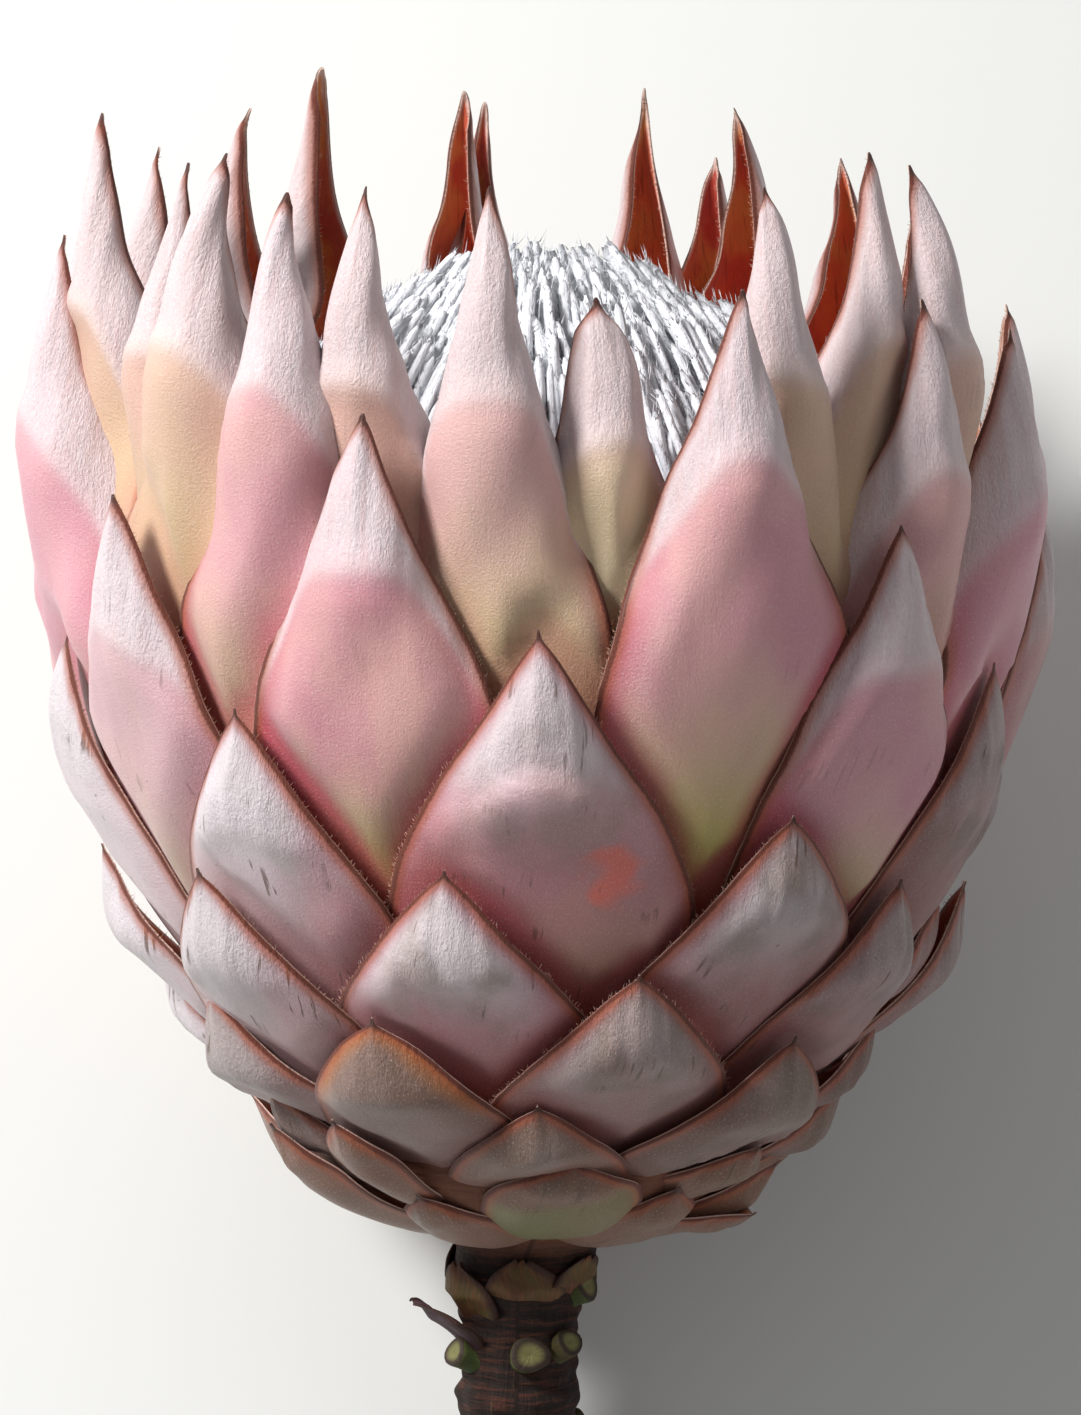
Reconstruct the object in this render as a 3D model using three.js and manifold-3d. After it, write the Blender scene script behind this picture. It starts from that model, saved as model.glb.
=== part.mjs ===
// King protea flower head, cut with a short length of stem and lying on its side. Millimetres, +Z up.
// It is modelled about its own axis, from the foot of the cup (height 0) to the tips of the bracts,
// with azimuth 0 at the front, and is then laid down with its front up.
import * as THREE from "three";
import { mergeVertices } from "three/addons/utils/BufferGeometryUtils.js";
import Module from "manifold-3d";

// The cup that the tips of the bracts touch
const CUP_RADIUS = 70; // at its widest
const CUP_WIDEST_HEIGHT = 105;
const CUP_ROUNDNESS = 0.84; // power of the sine: under 1 gives a fuller foot than an ellipse
const CUP_CLOSING = 0.003; // how fast it draws in again above its widest, per mm
const CUP_KNOTS = [0, 12, 26, 42, 62, 84, 108, 134, 160, 200]; // arc lengths where the cup's facets meet

// The bracts
const FIRST_SCALE = -45; // rank of the lowest, smallest scale
const FIRST_BRACT = -21; // scales below this rank are grown into the foot, those from it are bracts
const LAST_BRACT = 36;
const GOLDEN_ANGLE = -137.508; // from each bract to the next, in degrees
const BLADE = 0.8; // thickness
const LAYER_GAP = 0.55; // between a bract and the ones that it lies on
const SCALE_GAP = 0.1; // the same between two scales of the foot
const FOOT_GAP = 0.8; // the same between a scale of the foot and a bract
const EDGE_CLEARANCE = 1; // bracts nearer than this side by side lie on different layers
const LAYERS_INSIDE = 8; // about how far inside the cup the layers lie on average
const TOP_SPREAD = 0.5; // how much further in a tall bract's tip stands for each mm that it lies deeper
const SPREAD_DEPTH = 13; // where the tall bracts' layers begin
const SPREAD_ARCS = [105, 165]; // where that starts and ends
const ROOT_ARC = 10; // where the outermost scale grows, as arc length on the cup
const ROOT_STEP = 2.05; // how much further up the others grow for each mm that they lie deeper
const ROOT_SEAT = 0.3; // between a bract's foot and the head that carries it
const ROOT_SUNK = 5; // how much further down a scale of the foot starts
const TIP_HALF_WIDTH = 0.5;
const TIP_SHOULDER = 0.9;
const BEAK_ROLL = 0.95; // how far a beak's sides are rolled in further than the body's, in radians at each side
const BODY_ROLL = 0.15;
const TIGHTEST_ROLL = 1.3 * BLADE; // radius

// The floret dome: rod-like florets that lean in over a dense core
const FLORET_COUNT = 160;
const FLORET_LENGTH = 17;
const FLORET_RADIUS = 2.3; // three-sided
const FLORET_LEAN = 24; // degrees out of the dome's surface
const FLORET_STAND = 4; // tips above the core
const CORE_PROFILE = [
  [0, 38.8], [28, 38.8], [35, 55], [39.5, 72], [41.5, 88], [40, 102], [33.5, 114.5], [22.5, 125], [10, 131.5], [0, 133],
]; // radius, height

// Stem and head
const STEM_LENGTH = 48; // below the foot of the cup
const STEM_RADIUS = 8;
const COLLAR_RADIUS = 9.8;
const HEAD_TOP = 38.5;
const STEM_ASIDE = [-2.7, -0.7]; // how far the neck stands off the head's axis, and the cut end off the neck
const ROUND_SIDES = 18;

// How it lies: on the rim of its stem's cut end and on two tips at the back, each dipping a little
// below the table and cut level with it
const TILT = 29.075; // degrees that the tips' end is raised
const ROLL = -1.254;
const TABLE = 29.899; // depth of the table below the flower's axis, at the foot of the cup
const CENTRE = [0.47, 58.17]; // of its box, before it is brought over the origin

// Measured bracts and scales: rank, azimuth, tip height, width, beak (0 ogive, 1 long beak),
// widest place below the tip, and how far the tip leans sideways and stands out. The two at the back
// whose tips stand out the most carry the flower together with the stem's cut end.
const MEASURED = [
  [-44, -58, 17.6, 14, 0, 12, 0, 0],
  [-42, 6, 14.5, 22, 0, 10, 0, 0],
  [-39, -39, 20, 13, 0, 12, 0, 0],
  [-37, 48, 15, 22, 0, 14, 0, 1.5],
  [-34, 0, 24, 25, 0, 20, 0, 0],
  [-29, 41, 32, 32, 0, 27, 0, 0],
  [-26, -24, 37, 31, 0, 27, 0, 0],
  [-24, 80, 27, 30, 0, 24, 0, 0],
  [-23, -55, 37, 30, 0.1, 27, 0, 0],
  [-22, 134, 36, 27, 0, 25, 0, 0],
  [-21, 13, 44, 34, 0, 30, 0, 0],
  [-18, -44, 57, 33, 0.1, 32, 0, 0],
  [-17, 163, 45, 31, 0.05, 32, 0, 3],
  [-16, 53, 53, 30, 0.1, 31, 0, 0],
  [-15, -93, 38, 31, 0.1, 31, 0, 0],
  [-14, 128, 54, 34, 0.1, 33, 0, 0],
  [-13, -12, 59, 38, 0.1, 34, 0, 0],
  [-12, -163, 51, 33, 0.05, 32, 0, 3],
  [-11, 84, 45, 30, 0.1, 31, 0, 0],
  [-10, -80, 54, 33, 0.1, 31, 0, 0],
  [-8, 31, 65, 36, 0.1, 34, 0, 0],
  [-5, -36, 79, 36, 0.1, 38, 0, 0],
  [-3, 67, 81, 34, 0.2, 40, 0, 0],
  [-2, -75, 84, 34, 0.2, 40, 0, 0],
  [0, 0, 91, 41, 0.12, 42, 0, 0],
  [2, 88, 104, 34, 0.3, 45, 0, 0],
  [3, -54, 106, 35, 0.25, 46, 0, 0],
  [5, 44, 103, 37, 0.3, 46, 0, 0],
  [8, -20, 119, 37, 0.4, 50, 0, 0],
  [10, 70, 126, 35, 0.8, 58, 1, 0],
  [11, -76, 138, 35, 0.9, 66, -4, 0],
  [12, 158, 143, 34, 0.9, 60, 0, 0],
  [13, 23, 135, 37, 0.75, 58, 0, 0],
  [15, 97, 127, 35, 0.8, 60, 0, 0],
  [16, -32, 147, 36, 0.95, 68, 0, 0],
  [17, -172, 152, 30, 1.1, 68, 0, 0],
  [18, 51, 132, 35, 0.9, 60, 1, 0],
  [20, 137, 145, 33, 1, 66, 0, 0],
  [21, -6, 149, 34, 1, 72, 0, 0],
  [22, -148, 158, 30, 1.2, 70, 0, 0],
  [23, 61, 150, 32, 1, 68, -6, 0],
  [24, -48, 152, 34, 0.9, 68, 4, 0],
  [25, 166, 154, 30, 1.1, 68, 0, 0],
  [26, 32, 149, 33, 1, 68, -2, 0],
  [27, -114, 149, 32, 1, 68, 0, 0],
  [28, 46, 153, 27, 1, 68, 6, 0],
  [29, -23, 149, 33, 1, 68, 0, 0],
  [30, -169, 155, 30, 1.1, 68, 0, 0],
  [31, 62, 145, 28, 1, 66, 0, 1],
  [32, -76, 155, 32, 1, 68, 0, 3.5],
  [33, 150, 153, 32, 1.1, 68, 0, 0],
  [34, 8, 135, 28, 0.7, 50, 0, 0],
  [35, -131, 154, 30, 1.1, 68, 0, 0],
  [36, -59, 151, 30, 1, 68, 2, 0],
];

// What the other bracts measure, by rank
const RANKS = [-60, -34, -26, -21, -13, -8, 0, 8, 13, 21, 30, 45];
const TIP_HEIGHTS = [3, 17, 30, 41, 55, 66, 91, 118, 134, 149, 152, 154];
const WIDTHS = [11, 27, 30, 33, 36, 36, 37, 37, 36, 33, 33, 32];
const BEAKS = [0, 0, 0, 0.05, 0.1, 0.1, 0.12, 0.4, 0.75, 1, 1, 1];
const REACHES = [10, 23, 26, 30, 34, 37, 42, 50, 58, 68, 68, 68];

const wasm = await Module();
wasm.setup();
const radians = THREE.MathUtils.degToRad;

/** The value at x of the line through the knots. */
function along(x, knots, values) {
  let k = 1;
  while (k < knots.length - 1 && knots[k] < x) k += 1;
  const share = (x - knots[k - 1]) / (knots[k] - knots[k - 1]);
  return values[k - 1] + THREE.MathUtils.clamp(share, 0, 1) * (values[k] - values[k - 1]);
}

/** A number from 0 to 1 that depends on a seed alone. */
function chance(seed) {
  const s = Math.sin(seed * 12.9898 + 4.137) * 43758.5453;
  return s - Math.floor(s);
}

/** An angle in degrees brought between -180 and 180. */
function wrapped(angle) {
  return ((((angle + 180) % 360) + 360) % 360) - 180;
}

/** The cup's outline as radius and height, with the arc length from its foot. */
function cupOutline() {
  const outline = [];
  const steps = 400;
  for (let n = 0; n < steps; n += 1) {
    const turn = (n / (steps - 1)) * (Math.PI / 2);
    outline.push([CUP_RADIUS * Math.sin(turn) ** CUP_ROUNDNESS, CUP_WIDEST_HEIGHT * (1 - Math.cos(turn))]);
  }
  for (let up = 0.5; up <= 60; up += 0.5) {
    outline.push([CUP_RADIUS - CUP_CLOSING * up * up, CUP_WIDEST_HEIGHT + up]);
  }
  const arcs = [0];
  for (let n = 1; n < outline.length; n += 1) {
    const [r0, h0] = outline[n - 1];
    const [r1, h1] = outline[n];
    arcs.push(arcs[n - 1] + Math.hypot(r1 - r0, h1 - h0));
  }
  return { arcs, radii: outline.map((p) => p[0]), heights: outline.map((p) => p[1]) };
}

const cup = cupOutline();

/** The arc length at which the cup has a height. */
const arcAt = (height) => along(height, cup.heights, cup.arcs);

/** At each of the cup's knots, its radius and height and the direction into the cup. */
const cupKnots = CUP_KNOTS.map((arc) => {
  const step = 0.6;
  const rise = [cup.radii, cup.heights].map((v) => along(arc + step, cup.arcs, v) - along(arc - step, cup.arcs, v));
  const length = Math.hypot(...rise);
  return [along(arc, cup.arcs, cup.radii), along(arc, cup.arcs, cup.heights), -rise[1] / length, rise[0] / length];
});

/** Radius and height of the point that lies a depth inside the cup, at an arc length. */
function onShell(arc, depth) {
  const [radius, height, inR, inH] = [0, 1, 2, 3].map((k) => along(arc, CUP_KNOTS, cupKnots.map((p) => p[k])));
  const length = Math.hypot(inR, inH);
  return { radius: radius + (inR / length) * depth, height: height + (inH / length) * depth };
}

/** Half of a blade's width at a distance below its tip. */
function halfWidth(bract, below, length) {
  const reach = Math.min(bract.reach, 0.62 * length);
  const x = THREE.MathUtils.clamp(below / reach, 0, 1);
  const ogive = 1 - (1 - x) ** 2;
  const beaked = 0.45 * x + 2 * x * x - 1.45 * x ** 3;
  const past = THREE.MathUtils.clamp((below - reach) / (length - reach), 0, 1);
  const share = below < reach ? (1 - bract.beak) * ogive + bract.beak * beaked : 1 - 0.5 * past * past;
  const blunt = TIP_HALF_WIDTH + TIP_SHOULDER * (1 - Math.exp(-below / 2.5));
  return share * (bract.width / 2 - 1) + blunt;
}

/** Every bract and scale, from the lowest up: measured where a measure exists, else by rank. */
function bractTable() {
  const measured = new Map(MEASURED.map(([rank, ...row]) => [rank, row]));
  const table = [];
  for (let rank = FIRST_SCALE; rank <= LAST_BRACT; rank += 1) {
    const byRank = (values) => along(rank, RANKS, values);
    const spread = 5 * chance(rank) - 2;
    const row = measured.get(rank) ?? [
      wrapped(GOLDEN_ANGLE * rank),
      byRank(TIP_HEIGHTS) + (rank > -20 ? spread : 0.3 * spread),
      byRank(WIDTHS),
      byRank(BEAKS),
      byRank(REACHES),
      0,
      0,
    ];
    const [azimuth, tipHeight, width, beak, reach, lean, flare] = row;
    table.push({ rank, azimuth, tip: arcAt(tipHeight), width, beak, reach, lean, flare });
  }
  return table;
}

/** Whether two blades lie over each other somewhere below the lower one's tip. */
function overlap(lower, upper) {
  const steps = 24;
  const apart = radians(Math.abs(wrapped(lower.azimuth - upper.azimuth)));
  for (let n = 0; n < steps; n += 1) {
    const arc = lower.root + (n / (steps - 1)) * (lower.tip - lower.root);
    if (arc > upper.tip) continue;
    const widths = halfWidth(lower, lower.tip - arc, lower.tip - lower.root)
      + halfWidth(upper, upper.tip - arc, upper.tip - lower.root);
    const radius = along(arc, cup.arcs, cup.radii) - LAYERS_INSIDE * Math.min(1, arc / 60);
    if (apart * radius - widths < EDGE_CLEARANCE) return true;
  }
  return false;
}

/** How far a blade lies inside a lower one that it lies on. */
function stepInside(lower, blade) {
  if (blade.rank < FIRST_BRACT) return BLADE + SCALE_GAP;
  return BLADE + (lower.rank < FIRST_BRACT ? FOOT_GAP : LAYER_GAP);
}

/** Gives each blade its depth inside the cup and its root, and returns the greatest depth. */
function setDepths(table) {
  table.forEach((blade, n) => {
    const under = table.slice(0, n).filter((lower) => overlap(lower, blade));
    blade.depth = Math.max(0, ...under.map((lower) => lower.depth + stepInside(lower, blade)));
    blade.root = ROOT_ARC + ROOT_STEP * blade.depth;
  });
  return Math.max(...table.map((blade) => blade.depth));
}

const table = bractTable();
const deepestLayer = setDepths(table);

/** At each of the cup's knots, the depth of the blades whose tips are near it: they end on the cup. */
const tipDepths = CUP_KNOTS.map((arc) => {
  let weights = 1e-6;
  let sum = 0;
  for (const bract of table) {
    const weight = Math.exp(-(((bract.tip - arc) / 7) ** 2));
    weights += weight;
    sum += weight * bract.depth;
  }
  return sum / weights;
});
tipDepths[0] = 0;
for (let k = 1; k < tipDepths.length; k += 1) tipDepths[k] = Math.max(tipDepths[k], tipDepths[k - 1]);

// How finely a bract and a scale are divided: rows as shares of the reach, and columns from side to side
const BRACT_GRID = { sunk: 0, tipShares: [0, 0.1, 0.3, 0.55], sides: [-1, -0.5, 0, 0.5, 1] };
const SCALE_GRID = { sunk: ROOT_SUNK, tipShares: [0, 0.3, 0.7], sides: [-1, 0, 1] };

/** How far a tall bract stands in from its layer at an arc length, so that the tips have room. */
function spreadAt(bract, arc) {
  const further = Math.max(0, bract.depth - SPREAD_DEPTH);
  return TOP_SPREAD * further * THREE.MathUtils.smoothstep(arc, ...SPREAD_ARCS);
}

/** A closed body from rows of points: the outer face's rows, then the inner face's, all alike in number. */
function shellBody(outer, inner) {
  const rows = outer.length;
  const columns = outer[0].length;
  const positions = [...outer, ...inner].flat(2);
  const at = (face, row, column) => (face * rows + row) * columns + column;
  const index = [];
  const quad = (a, b, c, d) => index.push(a, c, b, a, d, c);
  for (let row = 0; row < rows - 1; row += 1) {
    for (let column = 0; column < columns - 1; column += 1) {
      const corners = (face) => [
        at(face, row, column), at(face, row, column + 1), at(face, row + 1, column + 1), at(face, row + 1, column),
      ];
      const [a, b, c, d] = corners(0);
      quad(a, b, c, d);
      const [e, f, g, h] = corners(1);
      index.push(e, f, g, e, g, h);
    }
    quad(at(0, row, 0), at(0, row + 1, 0), at(1, row + 1, 0), at(1, row, 0));
    const last = columns - 1;
    quad(at(0, row, last), at(1, row, last), at(1, row + 1, last), at(0, row + 1, last));
  }
  for (let column = 0; column < columns - 1; column += 1) {
    quad(at(0, 0, column), at(1, 0, column), at(1, 0, column + 1), at(0, 0, column + 1));
    const last = rows - 1;
    quad(at(0, last, column), at(0, last, column + 1), at(1, last, column + 1), at(1, last, column));
  }
  const geometry = new THREE.BufferGeometry();
  geometry.setAttribute("position", new THREE.Float32BufferAttribute(positions, 3));
  geometry.setIndex(index);
  return geometry;
}

/** A blade: it follows its own layer of the cup, and past its shoulders its sides roll in to a beak. */
function bladeGeometry(bract, { sunk, tipShares, sides }) {
  const root = bract.root - sunk;
  const length = bract.tip - root;
  const tipRows = tipShares.map((share) => share * bract.reach);
  const knotRows = CUP_KNOTS.map((arc) => bract.tip - arc)
    .filter((below) => below > 0.65 * bract.reach && below < length - 1)
    .reverse();
  const rows = [...tipRows.filter((below) => below < length - 4), ...knotRows, length];
  const outer = [];
  const inner = [];
  for (const below of rows) {
    const arc = bract.tip - below;
    const half = halfWidth(bract, below, length);
    const x = below / bract.reach;
    const fade = THREE.MathUtils.smoothstep(1.12 - x, 0, 1);
    const pinch = THREE.MathUtils.smoothstep(0.75 - x, 0, 0.5) * (0.35 + 0.65 * bract.beak);
    const wanted = fade * (BODY_ROLL + BEAK_ROLL * pinch);
    const roll = THREE.MathUtils.clamp(wanted, 0.01, half / TIGHTEST_ROLL);
    const bend = half / roll;
    const lean = bract.lean * THREE.MathUtils.clamp(1 - x, 0, 1) ** 1.5;
    const flare = bract.flare * THREE.MathUtils.clamp(1 - x, 0, 1) ** 2;
    const depth = bract.depth + spreadAt(bract, arc) - along(arc, CUP_KNOTS, tipDepths) - flare;
    const spine = onShell(arc, depth);
    const rowOf = (radius) => sides.map((side) => {
      const lift = radius * Math.cos(side * roll) - bend * Math.cos(roll);
      const point = onShell(arc, depth - lift);
      const turn = radians(bract.azimuth) + (radius * Math.sin(side * roll) + lean) / spine.radius;
      return [point.radius * Math.sin(turn), -point.radius * Math.cos(turn), point.height];
    });
    outer.push(rowOf(bend));
    inner.push(rowOf(bend - BLADE));
  }
  return shellBody(outer, inner);
}

/** A closed geometry as a solid that can be joined and cut. */
function solid(geometry) {
  const plain = geometry.clone();
  plain.deleteAttribute("normal");
  plain.deleteAttribute("uv");
  const merged = mergeVertices(plain, 1e-4);
  const vertProperties = new Float32Array(merged.attributes.position.array);
  const triVerts = new Uint32Array(merged.index.array);
  const body = new wasm.Manifold(new wasm.Mesh({ numProp: 3, vertProperties, triVerts }));
  return body;
}

/** A solid back as a geometry of its one outer surface: hollows that joining sealed are filled. */
function geometryOf(body) {
  const mesh = body.getMesh();
  const owner = Array.from({ length: mesh.vertProperties.length / 3 }, (_, vertex) => vertex);
  const find = (vertex) => {
    let top = vertex;
    while (owner[top] !== top) top = owner[top];
    owner[vertex] = top;
    return top;
  };
  for (let k = 0; k < mesh.triVerts.length; k += 3) {
    const top = find(mesh.triVerts[k]);
    owner[find(mesh.triVerts[k + 1])] = top;
    owner[find(mesh.triVerts[k + 2])] = top;
  }
  const counts = new Map();
  for (const vertex of mesh.triVerts) counts.set(find(vertex), (counts.get(find(vertex)) ?? 0) + 1);
  const outermost = [...counts].sort((a, b) => b[1] - a[1])[0][0];
  const geometry = new THREE.BufferGeometry();
  geometry.setAttribute("position", new THREE.Float32BufferAttribute(mesh.vertProperties, 3));
  geometry.setIndex([...mesh.triVerts].filter((_, k) => find(mesh.triVerts[k - (k % 3)]) === outermost));
  return geometry;
}

/** Joins solids in pairs, then the pairs, and so on. */
function joined(bodies) {
  let level = bodies;
  while (level.length > 1) {
    const next = [];
    for (let n = 0; n < level.length; n += 2) {
      next.push(n + 1 < level.length ? level[n].add(level[n + 1]) : level[n]);
    }
    level = next;
  }
  return level[0];
}

/** A body of revolution about the flower's axis from a profile of radius and height that ends on the axis. */
function turned(profile) {
  const points = profile.map(([radius, height]) => new THREE.Vector2(radius, height));
  const geometry = new THREE.LatheGeometry(points, ROUND_SIDES);
  geometry.rotateX(Math.PI / 2);
  return geometry;
}

/** A point at an azimuth, radius and height. */
function placed(azimuth, radius, height) {
  return new THREE.Vector3(radius * Math.sin(azimuth), -radius * Math.cos(azimuth), height);
}

/** Moves what lies below the foot of the cup aside, because the stem stands a little off the head's axis. */
function setAside(geometry) {
  const points = geometry.getAttribute("position");
  for (let n = 0; n < points.count; n += 1) {
    const down = -points.getZ(n);
    const aside = STEM_ASIDE[0] * THREE.MathUtils.smoothstep(down, -2, 6);
    points.setX(n, points.getX(n) + aside + (STEM_ASIDE[1] * Math.max(down, 0)) / STEM_LENGTH);
  }
  return geometry;
}

/** The stem and the head that it swells into, as one body of revolution. */
function stemAndHead() {
  const flank = [];
  for (const arc of [12, 26, 42, ROOT_ARC + ROOT_STEP * deepestLayer + 1]) {
    const seat = (arc - ROOT_ARC) / ROOT_STEP + BLADE + ROOT_SEAT;
    const { radius, height } = onShell(arc, seat - along(arc, CUP_KNOTS, tipDepths));
    flank.push([radius, Math.min(height, HEAD_TOP)]);
  }
  const rings = [];
  for (const [height, swell] of [[-42, 0], [-39, 0.9], [-36, 0], [-27, 0], [-24, 0.8], [-21, 0], [-13, 0.2]]) {
    rings.push([STEM_RADIUS + swell, height]);
  }
  const neck = [[COLLAR_RADIUS, -8], [COLLAR_RADIUS, -3]];
  return turned([
    [0, -STEM_LENGTH], [STEM_RADIUS - 0.3, -STEM_LENGTH], ...rings, ...neck, ...flank,
    [flank.at(-1)[0] - 1, HEAD_TOP], [0, HEAD_TOP],
  ]);
}

/** A leaf stalk left on the stem: a short round stub that leans out and up. */
function stalkStub([azimuth, height, radius, length, rise]) {
  const out = placed(radians(azimuth), Math.cos(radians(rise)), Math.sin(radians(rise)));
  const start = new THREE.Vector3(0, 0, height);
  const path = new THREE.LineCurve3(start, start.clone().addScaledVector(out, STEM_RADIUS + length));
  const section = new THREE.Shape().absarc(0, 0, radius, 0, 2 * Math.PI);
  return new THREE.ExtrudeGeometry(section, { steps: 1, curveSegments: 3, bevelEnabled: false, extrudePath: path });
}
// azimuth, height, radius, length, rise
const STALK_STUBS = [
  [62, -12, 2.6, 3.6, 22],
  [48, -21, 2.3, 3.2, 30],
  [10, -20, 3, 1.6, 20],
  [-62, -22, 2.4, 3.4, 25],
  [-20, -31, 2.4, 1.6, 15],
  [150, -15, 2.4, 2.6, 25],
  [-150, -27, 2.4, 2.6, 25],
  [110, -33, 2.2, 2.6, 25],
];

/** A small papery scale on the neck, or a withered leaf on the stem. */
function neckScale([azimuth, height, width, length, flare]) {
  const outer = [];
  const inner = [];
  for (const up of [0, 0.5, 1]) {
    const half = (width / 2) * (1 - 0.75 * up * up);
    const radius = STEM_RADIUS - 1.2 + (COLLAR_RADIUS - STEM_RADIUS + 1.4 + flare * up) * Math.min(1, 2 * up);
    const row = (out) => [-1, 0, 1].map((side) => (
      placed(radians(azimuth) + (side * half) / STEM_RADIUS, radius + out, height + length * up).toArray()
    ));
    outer.push(row(BLADE));
    inner.push(row(0));
  }
  return shellBody(inner, outer);
}
const NECK_SCALES = [
  [0, -12, 11, 9, 0.6],
  [60, -11, 11, 8, 1.2],
  [120, -13, 11, 9, 0.8],
  [180, -11, 11, 8, 0.9],
  [-120, -12, 11, 9, 0.7],
  [-60, -14, 11, 10, 1.4],
  [-75, -18, 9, 11, 4.5],
];

/** The stem with its head, the scales of the foot, the neck's scales and the leaf stalks, grown together. */
function stemGeometry() {
  const scales = table.filter((bract) => bract.rank < FIRST_BRACT);
  return geometryOf(joined([
    solid(setAside(stemAndHead())),
    ...scales.map((scale) => solid(bladeGeometry(scale, SCALE_GRID))),
    ...NECK_SCALES.map((scale) => solid(setAside(neckScale(scale)))),
    ...STALK_STUBS.map((stub) => solid(setAside(stalkStub(stub)))),
  ]));
}

/** One floret: a three-sided spindle from its root in the core to its tip. */
function floret(root, tip, turn) {
  const axis = tip.clone().sub(root).normalize();
  const side = new THREE.Vector3(axis.y, -axis.x, 0.01).cross(axis).normalize();
  const ring = (share, radius) => [0, 1, 2].map((n) => (
    root.clone().lerp(tip, share).addScaledVector(
      side.clone().applyAxisAngle(axis, turn + (n * 2 * Math.PI) / 3), radius,
    ).toArray()
  ));
  const positions = [...ring(0, FLORET_RADIUS), ...ring(0.8, FLORET_RADIUS), tip.toArray()].flat();
  const geometry = new THREE.BufferGeometry();
  geometry.setAttribute("position", new THREE.Float32BufferAttribute(positions, 3));
  const sides = [0, 1, 2].flatMap((n) => {
    const m = (n + 1) % 3;
    return [n, m, m + 3, n, m + 3, n + 3, n + 3, m + 3, 6];
  });
  geometry.setIndex([0, 2, 1, ...sides]);
  return geometry;
}

/** The florets: on a spiral over the core, evenly spread by area, each leaning up and in over the dome. */
function floretGeometry() {
  const side = CORE_PROFILE.slice(3).reverse();
  const areas = [0];
  for (let k = 1; k < side.length; k += 1) {
    const slant = Math.hypot(side[k][0] - side[k - 1][0], side[k][1] - side[k - 1][1]);
    areas.push(areas[k - 1] + slant * (side[k][0] + side[k - 1][0]));
  }
  const bodies = [solid(turned(CORE_PROFILE))];
  for (let n = 0; n < FLORET_COUNT; n += 1) {
    const area = ((n + 0.5) / FLORET_COUNT) * areas.at(-1);
    const radius = along(area, areas, side.map((p) => p[0]));
    const height = along(area, areas, side.map((p) => p[1]));
    const step = 0.02 * areas.at(-1);
    const upR = along(area - step, areas, side.map((p) => p[0])) - along(area + step, areas, side.map((p) => p[0]));
    const upH = along(area - step, areas, side.map((p) => p[1])) - along(area + step, areas, side.map((p) => p[1]));
    const steep = Math.atan2(upH, -upR);
    const azimuth = radians(GOLDEN_ANGLE * n);
    const pitch = steep + radians(FLORET_LEAN) * Math.min(1, radius / 12);
    const rise = radius < 3 ? Math.PI / 2 : Math.min(pitch, radians(100));
    const stand = FLORET_STAND * (0.7 + 0.6 * chance(n + 500));
    const tip = placed(azimuth, radius + stand * Math.sin(steep), height + stand * Math.cos(steep));
    const back = placed(azimuth, -Math.cos(rise), Math.sin(rise)).multiplyScalar(-FLORET_LENGTH);
    bodies.push(solid(floret(tip.clone().add(back), tip, 6.28 * chance(n))));
  }
  return geometryOf(joined(bodies));
}

const flower = new THREE.Group();
flower.rotation.set(-radians(90 - TILT), 0, radians(ROLL), "XYZ");
flower.position.set(-CENTRE[0], -CENTRE[1], TABLE);
const upwards = new THREE.Vector3(0, 0, 1).applyQuaternion(flower.quaternion.clone().invert());

/** A named part of the flower in its colour, cut level where it meets the table. */
function part(name, geometry, color, roughness) {
  const material = new THREE.MeshStandardMaterial({ color, roughness, metalness: 0 });
  const level = solid(geometry).trimByPlane(upwards.toArray(), -TABLE);
  const mesh = new THREE.Mesh(geometryOf(level), material);
  mesh.name = name;
  return mesh;
}

flower.add(part("stem", stemGeometry(), 0x3a2a20, 0.9));
flower.add(part("florets", floretGeometry(), 0xe6e7ec, 0.95));
for (const bract of table.filter((row) => row.rank >= FIRST_BRACT)) {
  const number = String(bract.rank - FIRST_BRACT + 1).padStart(2, "0");
  flower.add(part(`bract_${number}`, bladeGeometry(bract, BRACT_GRID), bract.rank < 5 ? 0xc9a7a4 : 0xe0b3b8, 0.55));
}

const model = new THREE.Group();
model.add(flower);
export default model;
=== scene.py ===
"""King protea flower head, cut with a short length of stem and lying on its side.

Shapes are worked out in millimetres about the flower's own axis, from the foot of the cup (height 0) to
the tips of the bracts, with azimuth 0 at the front. laid_down() turns them into the frame in which the
flower lies, in metres.
"""
from dataclasses import dataclass

import bpy
import numpy as np
from bpy.props import FloatProperty, FloatVectorProperty, IntProperty, PointerProperty
from mathutils import Matrix


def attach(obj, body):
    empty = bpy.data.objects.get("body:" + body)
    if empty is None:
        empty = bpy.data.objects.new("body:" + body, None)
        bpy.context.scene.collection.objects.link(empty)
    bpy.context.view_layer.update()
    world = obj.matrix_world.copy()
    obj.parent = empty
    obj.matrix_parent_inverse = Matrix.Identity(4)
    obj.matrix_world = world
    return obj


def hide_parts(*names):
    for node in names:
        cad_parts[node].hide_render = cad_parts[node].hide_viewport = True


bl_info = {
    "name": "King Protea",
    "version": (1, 0, 0),
    "blender": (4, 5, 0),
    "location": "3D View > Sidebar > King Protea",
    "description": "Builds a cut king protea from its bracts, foot scales, florets and stem",
    "category": "Add Mesh",
}

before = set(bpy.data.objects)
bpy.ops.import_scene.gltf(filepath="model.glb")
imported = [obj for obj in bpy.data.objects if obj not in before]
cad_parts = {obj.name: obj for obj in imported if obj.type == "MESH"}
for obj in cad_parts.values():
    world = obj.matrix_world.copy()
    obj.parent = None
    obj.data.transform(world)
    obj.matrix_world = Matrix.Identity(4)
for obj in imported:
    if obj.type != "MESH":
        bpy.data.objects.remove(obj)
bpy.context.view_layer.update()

MM = 0.001

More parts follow.
